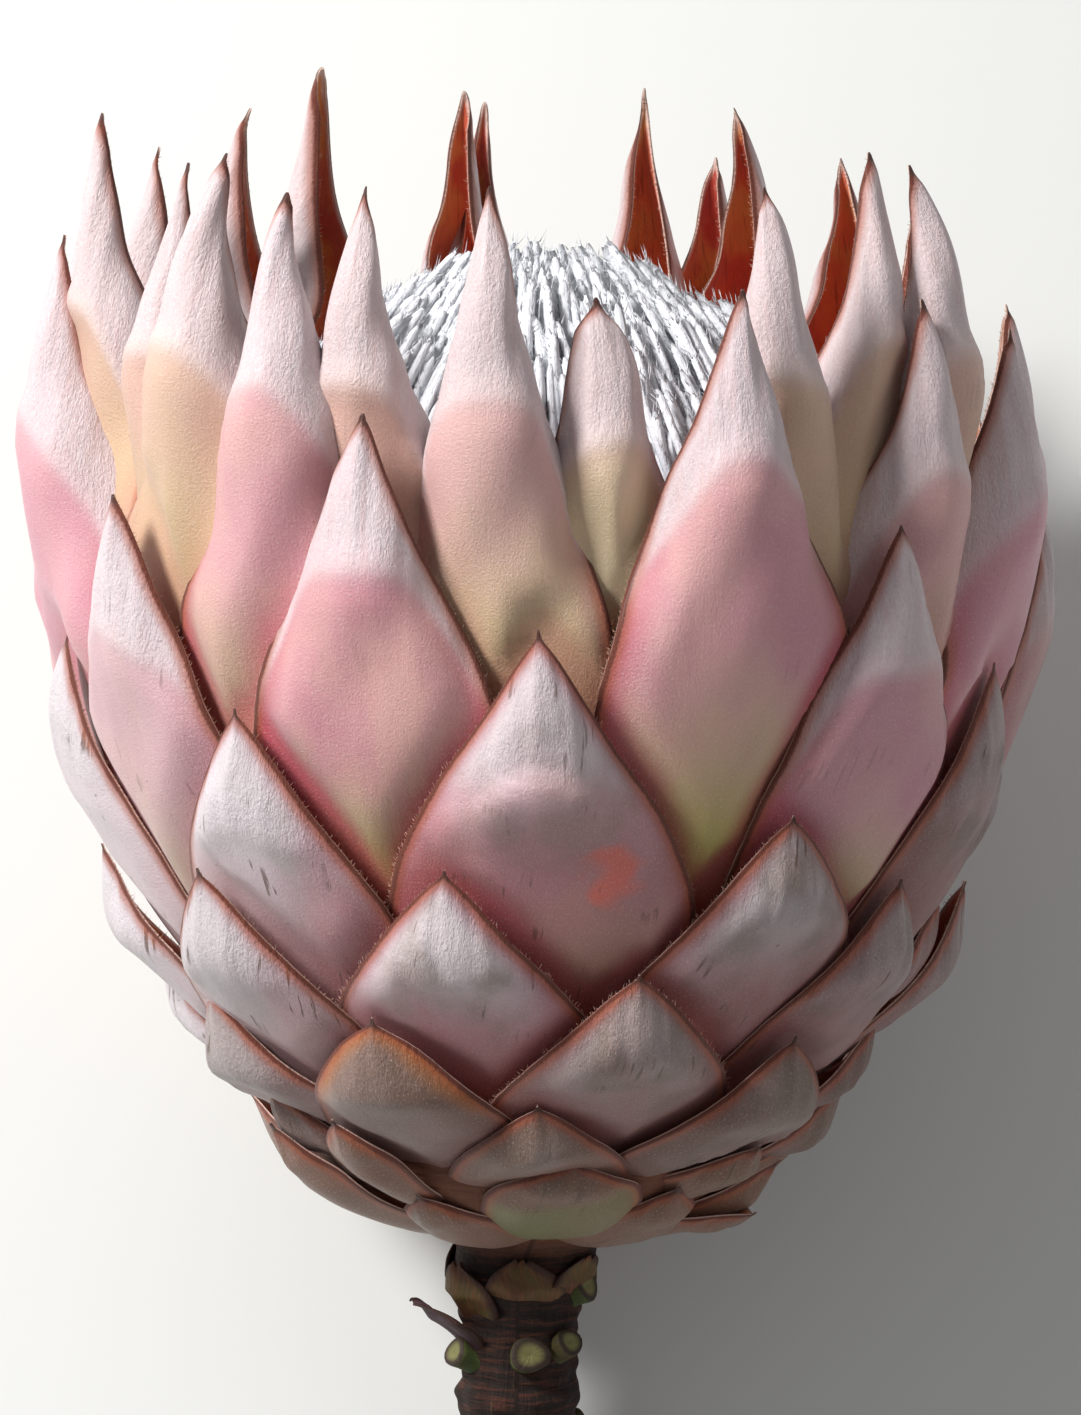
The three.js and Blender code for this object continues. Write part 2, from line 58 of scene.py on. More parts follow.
# How the flower lies, as in the CAD: the tips' end raised, the roll about its axis, the depth of the table
# below the axis, and the centre of its box
TILT = np.radians(29.075)
ROLL = np.radians(-1.254)
TABLE = 29.899
CENTRE = (0.47, 58.17)

# The bracts, as in the CAD, by rank from the lowest and outermost
GOLDEN_ANGLE = np.radians(-137.508)
CUP_KNOTS = np.array([0, 12, 26, 42, 62, 84, 108, 134, 160, 200])
FIRST_SCALE = -45
FIRST_BRACT = -21  # the scales below it are grown into the foot
FIRST_TALL = 5
LAST_BRACT = 36
SCALE_GAP = 0.1
FOOT_GAP = 0.8
EDGE_CLEARANCE = 1
LAYERS_INSIDE = 8
TOP_SPREAD = 0.5
SPREAD_DEPTH = 13
SPREAD_ARCS = (105, 165)
ROOT_ARC = 10
ROOT_STEP = 2.05
ROOT_SEAT = 0.3
ROOT_SUNK = 5
TIP_HALF_WIDTH = 0.5
TIP_SHOULDER = 0.9
TIGHTEST_ROLL = 1.04
HEAD_TOP = 38.5

# Measured bracts and scales: rank, azimuth, tip height, width, beak (0 ogive, 1 long beak), widest place
# below the tip, and how far the tip leans sideways and stands out
MEASURED = [
    (-44, -58, 17.6, 14, 0, 12, 0, 0),
    (-42, 6, 14.5, 22, 0, 10, 0, 0),
    (-39, -39, 20, 13, 0, 12, 0, 0),
    (-37, 48, 15, 22, 0, 14, 0, 1.5),
    (-34, 0, 24, 25, 0, 20, 0, 0),
    (-29, 41, 32, 32, 0, 27, 0, 0),
    (-26, -24, 37, 31, 0, 27, 0, 0),
    (-24, 80, 27, 30, 0, 24, 0, 0),
    (-23, -55, 37, 30, 0.1, 27, 0, 0),
    (-22, 134, 36, 27, 0, 25, 0, 0),
    (-21, 13, 44, 34, 0, 30, 0, 0),
    (-18, -44, 57, 33, 0.1, 32, 0, 0),
    (-17, 163, 45, 31, 0.05, 32, 0, 3),
    (-16, 53, 53, 30, 0.1, 31, 0, 0),
    (-15, -93, 38, 31, 0.1, 31, 0, 0),
    (-14, 128, 54, 34, 0.1, 33, 0, 0),
    (-13, -12, 59, 38, 0.1, 34, 0, 0),
    (-12, -163, 51, 33, 0.05, 32, 0, 3),
    (-11, 84, 45, 30, 0.1, 31, 0, 0),
    (-10, -80, 54, 33, 0.1, 31, 0, 0),
    (-8, 31, 65, 36, 0.1, 34, 0, 0),
    (-5, -36, 79, 36, 0.1, 38, 0, 0),
    (-3, 67, 81, 34, 0.2, 40, 0, 0),
    (-2, -75, 84, 34, 0.2, 40, 0, 0),
    (0, 0, 91, 41, 0.12, 42, 0, 0),
    (2, 88, 104, 34, 0.3, 45, 0, 0),
    (3, -54, 106, 35, 0.25, 46, 0, 0),
    (5, 44, 103, 37, 0.3, 46, 0, 0),
    (8, -20, 119, 37, 0.4, 50, 0, 0),
    (10, 70, 126, 35, 0.8, 58, 1, 0),
    (11, -76, 138, 35, 0.9, 66, -4, 0),
    (12, 158, 143, 34, 0.9, 60, 0, 0),
    (13, 23, 135, 37, 0.75, 58, 0, 0),
    (15, 97, 127, 35, 0.8, 60, 0, 0),
    (16, -32, 147, 36, 0.95, 68, 0, 0),
    (17, -172, 152, 30, 1.1, 68, 0, 0),
    (18, 51, 132, 35, 0.9, 60, 1, 0),
    (20, 137, 145, 33, 1, 66, 0, 0),
    (21, -6, 149, 34, 1, 72, 0, 0),
    (22, -148, 158, 30, 1.2, 70, 0, 0),
    (23, 61, 150, 32, 1, 68, -6, 0),
    (24, -48, 152, 34, 0.9, 68, 4, 0),
    (25, 166, 154, 30, 1.1, 68, 0, 0),
    (26, 32, 149, 33, 1, 68, -2, 0),
    (27, -114, 149, 32, 1, 68, 0, 0),
    (28, 46, 153, 27, 1, 68, 6, 0),
    (29, -23, 149, 33, 1, 68, 0, 0),
    (30, -169, 155, 30, 1.1, 68, 0, 0),
    (31, 62, 145, 28, 1, 66, 0, 1),
    (32, -76, 155, 32, 1, 68, 0, 3.5),
    (33, 150, 153, 32, 1.1, 68, 0, 0),
    (34, 8, 135, 28, 0.7, 50, 0, 0),
    (35, -131, 154, 30, 1.1, 68, 0, 0),
    (36, -59, 151, 30, 1, 68, 2, 0),
]

# What the other bracts measure, by rank, and how much their tip heights vary
RANKS = (-60, -34, -26, -21, -13, -8, 0, 8, 13, 21, 30, 45)
TIP_HEIGHTS = (3, 17, 30, 41, 55, 66, 91, 118, 134, 149, 152, 154)
WIDTHS = (11, 27, 30, 33, 36, 36, 37, 37, 36, 33, 33, 32)
BEAKS = (0, 0, 0, 0.05, 0.1, 0.1, 0.12, 0.4, 0.75, 1, 1, 1)
REACHES = (10, 23, 26, 30, 34, 37, 42, 50, 58, 68, 68, 68)
TIP_VARIES = 5

CORE_BEAK_ROLL = 0.95  # of the solid blades
TIGHTEST_BEND = 0.8  # radius

# Bracts whose visible end is a longer beak than the solid's: rank, beak
LONGER_BEAKS = {0: 0.42, -5: 0.22, 8: 0.55, -13: 0.2, 5: 0.45, 3: 0.4}

# Tips that have lost their point: rank, and how much wider they are near the tip
TIP_BLUNT = {34: 1.6, -26: 1.0, 26: 0.5}

# Bracts with a pouch raised across them below the beak: rank, and how high it stands
POUCH = {0: 2.0}

# Ranks with a colour of their own: an olive patch, a rusty tip, a painted spot of light, and a cream body
LOWEST, RUSTED, POUCHED, BLUNTED = -42, -26, 0, 34
RANK_SHIFT = 60  # added to the rank in the number that tells a blade's skin which blade it is on

# Small dry scales round the neck of the head, outside all the others: azimuth, tip height, width, flare
NECK_BRACTS = [
    (36, 9.2, 17, 0.3),
    (62, 7.6, 25, 4.6),
    (104, 8.4, 17, 0.5),
    (148, 7.8, 17, 0.3),
    (-168, 8.6, 17, 0.4),
    (-122, 7.8, 17, 0.5),
    (-80, 8.6, 17, 0.8),
    (-30, 8.8, 16, 0.3),
]
NECK_BRACT_REACH = 12
NECK_BRACT_DEPTH = -0.5

# Rows down and columns across a blade
BRACT_GRID = (64, 33)
TALL_GRID = (84, 33)
SCALE_GRID = (40, 21)
NECK_GRID = (26, 15)
FRINGE_GRID = (70, 9)

# Hairs of the fringe and of the florets
FRINGE_PER_MM = 3.2
FRINGE_RADIUS = 0.07
FLORET_HAIR_RADIUS = 0.09

# The dome under the florets, from its top down, and the rest of the core: radius, height. The core is
# drawn in and down a little from them, and is shaded like a floret at this depth below its tip
DOME = np.array([(0, 133), (10, 131.5), (22.5, 125), (33.5, 114.5), (40, 102), (41.5, 88), (39.5, 72)])
CORE = np.array([(35, 55), (28, 38.8)])
CORE_DRAWN_IN = (1.5, 1.0)
CORE_DEEP = 16.0

# A floret's rings: share of its length, and share of its radius
FLORET_RINGS = np.array([(0, 0.8), (0.4, 1.0), (0.8, 1.1), (0.94, 1.0), (1.0, 0.4)])
FLORET_SIDES = 4

# The stem's rings: height, size and half width of the bell curve. STEM_ASIDE is how far the neck stands off
# the head's axis, and the cut end off the neck
STEM_LENGTH = 48
STEM_ASIDE = (-2.7, -0.7)
STEM_RINGS = ((-39, 0.9, 1.2), (-24, 0.8, 1.3), (-12.5, 0.5, 1.0), (-31.5, 0.3, 0.8), (-45, 0.4, 0.9))
STEM_COLUMNS = 96
CUT_ROWS = 12
COLLAR_HEIGHTS = (-13, -9, -3)  # where it starts to widen, where the bark ends, and its top

# Leaf stalks: azimuth, height, radius, length, rise in degrees
STALK_STUBS = [
    (62, -12, 2.6, 3.6, 22),
    (48, -21, 2.3, 3.2, 30),
    (10, -20, 2.8, 1.6, 20),
    (-62, -22, 2.4, 3.4, 25),
    (-20, -31, 2.4, 1.6, 15),
    (150, -15, 2.4, 2.6, 25),
    (-150, -27, 2.4, 2.6, 25),
    (110, -33, 2.2, 2.6, 25),
]
# A stalk's rings: share of its length, share of its radius, and how far the ring belongs to the cut
STALK_RINGS = np.array([
    (0, 1.5, 0), (0.45, 1.3, 0), (0.62, 1.12, 0), (0.75, 1.02, 0), (0.86, 1.0, 0), (0.94, 1.04, 0),
    (0.98, 1.02, 0.05), (1.0, 0.92, 0.3), (1.0, 0.7, 0.6), (0.985, 0.35, 0.9), (0.98, 0.02, 1.0)])
STALK_COLUMNS = 18

# Papery scales of the neck, the last of them the withered leaf: azimuth, height, width, length, flare
NECK_SCALES = [
    (0, -12, 12, 9, 0.2),
    (60, -11, 12, 8, 0.6),
    (120, -13, 12, 9, 0.4),
    (180, -11, 12, 8, 0.5),
    (-120, -12, 12, 9, 0.4),
    (-60, -14, 12, 10, 0.6),
    (-75, -18, 10, 12, 5.0),
]

# The camera: how far above square it looks from, what height of the flower's axis it looks at, its
# distance in mm, and its lens
CAMERA_LIFT = np.radians(8)
CAMERA_HEIGHT = 72.5
CAMERA_DISTANCE = 1100
CAMERA_LENS = 202.8

# The lights: direction about the flower's own axis, distance and size in metres, all towards one height
LIGHTS = {"key": ((-0.72, -0.52, 0.66), 1.1, 0.3), "fill": ((0.9, -0.55, 0.1), 1.3, 1.2)}
LIGHT_HEIGHT = 80
SKY_COLOUR = (0.93, 0.96, 1.0)


# ---------------------------------------------------------------- settings


def colour(code):
    """An sRGB colour of six hexadecimal digits as the linear values that a shader takes."""
    srgb = [int(code[k:k + 2], 16) / 255 for k in (0, 2, 4)]
    return tuple(v / 12.92 if v <= 0.04045 else ((v + 0.055) / 1.055) ** 2.4 for v in srgb)


def sized(name, description, metres):
    """A length that a user can change."""
    return FloatProperty(name=name, description=description, default=metres, unit="LENGTH", precision=5)


def turned(name, description, radians):
    """An angle that a user can change."""
    return FloatProperty(name=name, description=description, default=radians, subtype="ANGLE")


def tinted(name, description, code):
    """A colour that a user can change."""
    return FloatVectorProperty(name=name, description=description, default=colour(code), subtype="COLOR")


class CupSettings(bpy.types.PropertyGroup):
    """The cup that the tips of the bracts touch."""

    radius: sized("Radius", "Radius of the cup at its widest", 0.07)
    widest: sized("Widest height", "Height at which the cup is widest", 0.105)
    roundness: FloatProperty(
        name="Roundness", description="Power of the sine in its outline: under 1 gives a fuller foot",
        default=0.84)
    closing: FloatProperty(
        name="Closing", description="How fast it draws in above its widest, per millimetre", default=0.003,
        precision=4)


class BractSettings(bpy.types.PropertyGroup):
    """The large bracts round the florets, and the scales of the foot."""

    golden_angle: turned("Turn", "Angle from each bract to the next", GOLDEN_ANGLE)
    blade: sized("Blade", "Thickness of a bract along its middle", 0.0008)
    margin: sized("Margin", "Thickness of a bract at its margins", 0.00032)
    layer_gap: sized("Layer gap", "Gap between a bract and the ones that it lies on", 0.00055)
    beak_roll: turned("Beak roll", "How far a beak's sides roll in further than the body's", 2.1)
    body_roll: turned("Body roll", "How far the sides of a bract's body are rolled in", 0.15)
    silk: tinted("Silk", "Silvery silk of the beaks", "deced1")
    blush: tinted("Blush", "Pink below the beaks", "cc8a94")
    cream: tinted("Cream", "Cream yellow at the foot of tall bracts", "c9b086")
    margin_colour: tinted("Margin colour", "Dry rust-brown margins", "9a4420")
    # Salmon brightened as a painted glow of light shining through the thin bract
    inner: tinted("Inner face", "Salmon-orange inner face", "f07a4a")
    scale: tinted("Foot scale", "Brown-pink skin of the lowest scales", "917b71")


class FloretSettings(bpy.types.PropertyGroup):
    """The dome of florets."""

    count: IntProperty(name="Count", description="Number of florets", default=3600, min=50)
    length: sized("Length", "Length of a floret", 0.023)
    radius: sized("Radius", "Radius of a floret", 0.00068)
    rise: turned("Rise", "Least angle of a floret above level, away from the middle", np.radians(52))
    hairs: IntProperty(name="Hairs", description="Fine hairs on each floret", default=11, min=0)
    white: tinted("White", "White of the florets", "f8f8fb")
    # Painted shade, deep between the florets
    shade: tinted("Shade", "Blue-grey between the florets", "d9dce4")


class StemSettings(bpy.types.PropertyGroup):
    """The short length of stem under the head."""

    length: sized("Length", "Length of stem below the cup", 0.048)
    radius: sized("Radius", "Radius of the stem", 0.008)
    collar: sized("Collar", "Radius of the collar under the head", 0.0098)
    bark: tinted("Bark", "Dark bark", "20140f")
    wood: tinted("Wood", "Pale wood of the cut ends", "b49a6a")


class StageSettings(bpy.types.PropertyGroup):
    """Floor and light."""

    floor: tinted("Floor", "Colour of the floor", "dededa")
    key: FloatProperty(
        name="Key light", description="Strength of the main light", default=18.0, unit="POWER")
    fill: FloatProperty(
        name="Fill light", description="Strength of the light from the other side", default=2.5, unit="POWER")
    sky: FloatProperty(name="Surroundings", description="Strength of the surroundings", default=0.26)


# ---------------------------------------------------------------- numbers and frames


def chance(seed):
    """A number from 0 to 1 that depends on a seed alone: the fraction of a large multiple of a sine."""
    return np.mod(np.sin(np.asarray(seed, float) * 12.9898 + 4.137) * 43758.5453, 1.0)


def smooth(x):
    """0 below 0, 1 above 1, and x squared times three minus two x between."""
    x = np.clip(x, 0, 1)
    return x * x * (3 - 2 * x)


def wrapped(angle):
    """An angle in degrees brought between -180 and 180."""
    return (angle + 180) % 360 - 180


def triples(x, y, z):
    """Three arrays of numbers, or single ones, as one array of triples."""
    return np.stack(np.broadcast_arrays(x, y, z), -1)


def unit(vectors):
    """Vectors at length one."""
    return vectors / np.linalg.norm(vectors, axis=-1, keepdims=True)


def placed(azimuth, radius, height):
    """Points at an azimuth, radius and height: the front is at -Y."""
    return triples(radius * np.sin(azimuth), -radius * np.cos(azimuth), height)


def set_aside(points):
    """Flower points moved aside below the foot of the cup, by a smooth step and then with the depth."""
    down = -points[..., 2]
    aside = STEM_ASIDE[0] * smooth((down + 2) / 8) + STEM_ASIDE[1] * np.maximum(down, 0) / STEM_LENGTH
    return points + triples(aside, 0, 0)


def flower_frame():
    """The turn that lays the flower down, a roll about its axis and a tilt about X, and its shift in mm."""
    c, s = np.cos(ROLL), np.sin(ROLL)
    roll = np.array([[c, -s, 0], [s, c, 0], [0, 0, 1]])
    lay = TILT - np.pi / 2
    c, s = np.cos(lay), np.sin(lay)
    tilt = np.array([[1, 0, 0], [0, c, -s], [0, s, c]])
    return tilt @ roll, np.array([-CENTRE[0], -CENTRE[1], TABLE])


def laid_down(points):
    """Flower points in mm to the frame in which it lies, in metres, kept on or above the table."""
    turn, shift = flower_frame()
    world = points @ turn.T + shift
    world[..., 2] = np.maximum(world[..., 2], 0.0)
    return world * MM


# ---------------------------------------------------------------- the shells that the blades follow


class Shells:
    """The nested shells that the blades follow, read by arc length from the foot and depth inside the cup."""

    def __init__(self, cup):
        """The cup's outline.

        Up to its widest, the radius is the widest radius times the sine of an angle raised to the roundness
        and the height is the widest height times one minus its cosine. Above, the radius falls with the
        square of the height above the widest.
        """
        turn = np.linspace(0, np.pi / 2, 400)
        up = np.arange(0.5, 66.1, 0.5)
        radii = np.concatenate([cup.radius / MM * np.sin(turn) ** cup.roundness,
                                cup.radius / MM - cup.closing * up * up])
        heights = np.concatenate([cup.widest / MM * (1 - np.cos(turn)), cup.widest / MM + up])
        arcs = np.concatenate([[0], np.cumsum(np.hypot(np.diff(radii), np.diff(heights)))])
        self.arcs = np.arange(0, arcs[-1], 0.5)
        self.radii = np.interp(self.arcs, arcs, radii)
        self.heights = np.interp(self.arcs, arcs, heights)
        rise_r, rise_h = np.gradient(self.radii), np.gradient(self.heights)
        length = np.hypot(rise_r, rise_h)
        self.inward = (-rise_h / length, rise_r / length)
        self.tip_depths = np.zeros_like(self.arcs)

    def radius_at(self, arc):
        """The cup's radius at an arc length."""
        return np.interp(arc, self.arcs, self.radii)

    def arc_at(self, height):
        """The arc length at which the cup has a height."""
        return float(np.interp(height, self.heights, self.arcs))

    def set_tip_depths(self, blades):
        """At each knot the mean depth of the blades whose tips are near, never falling, then smoothed.

        The nearness is a bell curve of the arc between tip and knot, 7 mm wide. The tips end on the cup,
        because every blade is drawn out by this depth.
        """
        tips = np.array([blade.tip for blade in blades])
        depths = np.array([blade.depth for blade in blades])
        weights = np.exp(-((tips[:, None] - CUP_KNOTS) / 7.0) ** 2)
        knots = (weights * depths[:, None]).sum(0) / (weights.sum(0) + 1e-6)
        knots[0] = 0
        knots = np.maximum.accumulate(knots)
        window = 25
        line = np.pad(np.interp(self.arcs, CUP_KNOTS, knots), window // 2, mode="edge")
        self.tip_depths = np.convolve(line, np.ones(window) / window, "valid")

    def tip_depth(self, arc):
        """How far the blades are drawn out at an arc length."""
        return np.interp(arc, self.arcs, self.tip_depths)

    def point(self, arc, depth):
        """Radius and height of the point at an arc length of the cup and a depth along its inward normal."""
        radius = self.radius_at(arc) + np.interp(arc, self.arcs, self.inward[0]) * depth
        height = np.interp(arc, self.arcs, self.heights) + np.interp(arc, self.arcs, self.inward[1]) * depth
        return radius, height


@dataclass
class Blade:
    """A bract or scale: where it stands, what it measures, and the layer on which it lies."""

    rank: int
    azimuth: float
    tip: float
    width: float
    beak: float
    reach: float
    lean: float
    flare: float
    depth: float = 0.0
    root: float = 0.0


def half_width(blade, below, length):
    """Half of a blade's width at a distance below its tip.

    Down to the reach it follows an ogive, one minus the square of what is left, mixed by the blade's beak
    with a hollow cubic. Below, it narrows with the square of the way to the root. The tip is a little blunt.
    """
    reach = min(blade.reach, 0.62 * length)
    x = np.clip(below / reach, 0, 1)
    ogive = 1 - (1 - x) ** 2
    beaked = 0.45 * x + 2 * x * x - 1.45 * x ** 3
    past = np.clip((below - reach) / (length - reach), 0, 1)
    share = np.where(below < reach, (1 - blade.beak) * ogive + blade.beak * beaked, 1 - 0.5 * past * past)
    blunt = TIP_HALF_WIDTH + TIP_SHOULDER * (1 - np.exp(-np.maximum(below, 0) / 2.5))
    return share * (blade.width / 2 - 1) + blunt


def blades_of_the_head(shells, bracts):
    """Every blade from the lowest up, on its layer.

    A blade stands one golden angle on from the last unless it is measured. It lies on all the lower blades
    that it crosses, one blade and a gap inside the deepest of them, and grows further up the deeper it lies.
    """
    measured = {row[0]: row[1:] for row in MEASURED}
    blades = []
    for rank in range(FIRST_SCALE, LAST_BRACT + 1):
        by_rank = [float(np.interp(rank, RANKS, row)) for row in (TIP_HEIGHTS, WIDTHS, BEAKS, REACHES)]
        spread = TIP_VARIES * float(chance(rank)) - 2
        by_rank[0] += spread if rank > -20 else 0.3 * spread
        golden = wrapped(round(np.degrees(bracts.golden_angle), 4) * rank)
        azimuth, height, width, beak, reach, lean, flare = measured.get(rank, (golden, *by_rank, 0, 0))
        blades.append(Blade(rank, azimuth, shells.arc_at(height), width, beak, reach, lean, flare))
    for n, blade in enumerate(blades):
        for lower in blades[:n]:
            if crosses(shells, lower, blade):
                blade.depth = max(blade.depth, lower.depth + step_inside(bracts, lower, blade))
        blade.root = ROOT_ARC + ROOT_STEP * blade.depth
    shells.set_tip_depths(blades)
    for blade in blades:
        blade.beak = LONGER_BEAKS.get(blade.rank, blade.beak)
    return blades


def crosses(shells, lower, upper):
    """Whether two blades lie over each other somewhere below the lower one's tip."""
    arc = np.linspace(lower.root, lower.tip, 24)
    arc = arc[arc <= upper.tip]
    apart = np.radians(abs(wrapped(lower.azimuth - upper.azimuth)))
    widths = (half_width(lower, lower.tip - arc, lower.tip - lower.root)
              + half_width(upper, upper.tip - arc, upper.tip - lower.root))
    radius = shells.radius_at(arc) - LAYERS_INSIDE * np.minimum(1, arc / 60)
    return bool((apart * radius - widths < EDGE_CLEARANCE).any())


def step_inside(bracts, lower, blade):
    """How far a blade lies inside a lower one that it lies on."""
    if blade.rank < FIRST_BRACT:
        return bracts.blade / MM + SCALE_GAP
    return bracts.blade / MM + (FOOT_GAP if lower.rank < FIRST_BRACT else bracts.layer_gap / MM)


# ---------------------------------------------------------------- meshes


def grid_quads(rows, columns, around=False):
    """The faces of a grid of points, row by row, closed sideways when it goes around."""
    across = columns if around else columns - 1
    row, column = np.meshgrid(np.arange(rows - 1), np.arange(across), indexing="ij")
    following = (column + 1) % columns
    corners = [row * columns + column, (row + 1) * columns + column,
               (row + 1) * columns + following, row * columns + following]
    return np.stack(corners, -1).reshape(-1, 4)


def rim_quads(rows, columns):
    """The faces that close two grids of points, one after the other, along their four sides."""
    grid = np.arange(rows * columns).reshape(rows, columns)
    loop = np.concatenate([grid[0, :-1], grid[:-1, -1], grid[-1, :0:-1], grid[:0:-1, 0]])
    following = np.roll(loop, -1)
    far = rows * columns
    return np.stack([loop, following, following + far, loop + far], -1)


def volume(points, faces):
    """Six times the signed volume inside closed faces: positive when they face outwards."""
    corners = [points[column] for column in faces.T]
    return float(sum(np.einsum("ij,ij->i", corners[0], np.cross(b, c)).sum()
                     for b, c in zip(corners[1:-1], corners[2:])))


def make_piece(name, points, faces, nodes, material, facts, caps=(), flat=()):
    """A closed mesh at the origin that rides on the flower and stands for its CAD nodes.

    points are in mm about the flower's axis, faces are rows of corners, all with the same number, facts are
    numbers or triples for each point that the material reads, caps are flat faces with any number of
    corners, and flat lists the other faces that aren't shaded smooth.
    """
    points = laid_down(points.reshape(-1, 3))
    if volume(points, faces) < 0:
        faces = faces[:, ::-1]
        caps = [cap[::-1] for cap in caps]
    old = bpy.data.objects.get(name)
    if old is not None:
        bpy.data.objects.remove(old)
    mesh = bpy.data.meshes.new(name)
    mesh.from_pydata(points, [], faces.tolist() + [cap.tolist() for cap in caps])
    rounded = np.ones(len(mesh.polygons), bool)
    rounded[np.array(flat, int)] = False
    rounded[len(faces):] = False
    mesh.polygons.foreach_set("use_smooth", rounded)
    for fact, values in facts.items():
        kind, key = ("FLOAT_VECTOR", "vector") if values.size > len(points) else ("FLOAT", "value")
        mesh.attributes.new(fact, kind, "POINT").data.foreach_set(key, values.astype(np.float32).ravel())
    mesh.materials.append(material)
    mesh.validate()
    piece = bpy.data.objects.new(name, mesh)
    bpy.context.scene.collection.objects.link(piece)
    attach(piece, "root")
    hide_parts(*nodes)


def make_sheets(name, sheets, nodes, material):
    """A piece of closed sheets with grids of one size: the outer face, the inner face and the facts of each.

    Both faces have the same facts, and the fact named inner tells them apart. Only the rims are flat.
    """
    rows, columns = sheets[0][0].shape[:2]
    grid = grid_quads(rows, columns)
    one = np.concatenate([grid, grid[:, ::-1] + rows * columns, rim_quads(rows, columns)])
    n = np.arange(len(sheets))[:, None]
    quads = (one + 2 * rows * columns * n[..., None]).reshape(-1, 4)
    flat = (np.arange(2 * len(grid), len(one)) + len(one) * n).ravel()
    points = np.stack([(outer, inner) for outer, inner, _ in sheets])
    facts = {fact: np.stack([(facts[fact], facts[fact]) for _, _, facts in sheets]) for fact in sheets[0][2]}
    facts["inner"] = np.zeros(points.shape[:-1])
    facts["inner"][:, 1] = 1
    make_piece(name, points, quads, nodes, material, facts, flat=flat)


def make_tubes(name, rings, nodes, material, facts):
    """A piece of closed tubes, its points by tube, ring and turn, with a flat cap at each end."""
    count, rows, columns = rings.shape[:3]
    start = rows * columns * np.arange(count)[:, None]
    quads = (grid_quads(rows, columns, around=True) + start[..., None]).reshape(-1, 4)
    ring = np.arange(columns)
    caps = np.concatenate([start + ring[::-1], start + (rows - 1) * columns + ring])
    make_piece(name, rings, quads, nodes, material, facts, caps=caps)


def spikes(base, along, length, radius, seed):
    """Thin three-sided hairs: four corners each, a triangle round the base and a point at the end.

    base, along and length are arrays over the hairs. Two directions across each hair come from the cross
    products of its own direction with a fixed one and with the first.
    """
    helper = np.where(np.abs(along[:, 2:3]) < 0.8, [[0.0, 0.0, 1.0]], [[1.0, 0.0, 0.0]])
    first = unit(np.cross(along, helper))
    second = np.cross(along, first)
    turns = 2 * np.pi * (np.arange(3) / 3)[None, :, None] + seed[:, None, None]
    ring = base[:, None] + radius * (np.cos(turns) * first[:, None] + np.sin(turns) * second[:, None])
    end = base + along * length[:, None]
    points = np.concatenate([ring, end[:, None]], 1)
    start = 4 * np.arange(len(base))[:, None]
    triangles = np.concatenate([start + k for k in ([[0, 1, 3]], [[1, 2, 3]], [[2, 0, 3]], [[0, 2, 1]])])
    share = np.tile([0.0, 0.0, 0.0, 1.0], len(base))
    return points, triangles, share


# ---------------------------------------------------------------- the surface of a blade


def clear_of(blade, blades, shells, arc, azimuth):
    """How far points of a blade stand clear of the lower blades that lie over it, in mm.

    At an arc length the distance to a lower blade is the angle apart times the cup's radius, less the lower
    blade's half width; above its tip it is the distance from that tip.
    """
    clear = np.full(np.broadcast_shapes(arc.shape, azimuth.shape), 40.0)
    radius = shells.radius_at(arc)
    for lower in blades:
        if lower.rank >= blade.rank or abs(wrapped(lower.azimuth - blade.azimuth)) > 70:
            continue
        beside = np.radians(np.abs(wrapped(lower.azimuth - azimuth))) * radius
        half = half_width(lower, lower.tip - arc, lower.tip - lower.root)
        above = np.maximum(arc - lower.tip, 0)
        clear = np.minimum(clear, np.where(above > 0, np.hypot(beside, above), beside - half))
    return clear


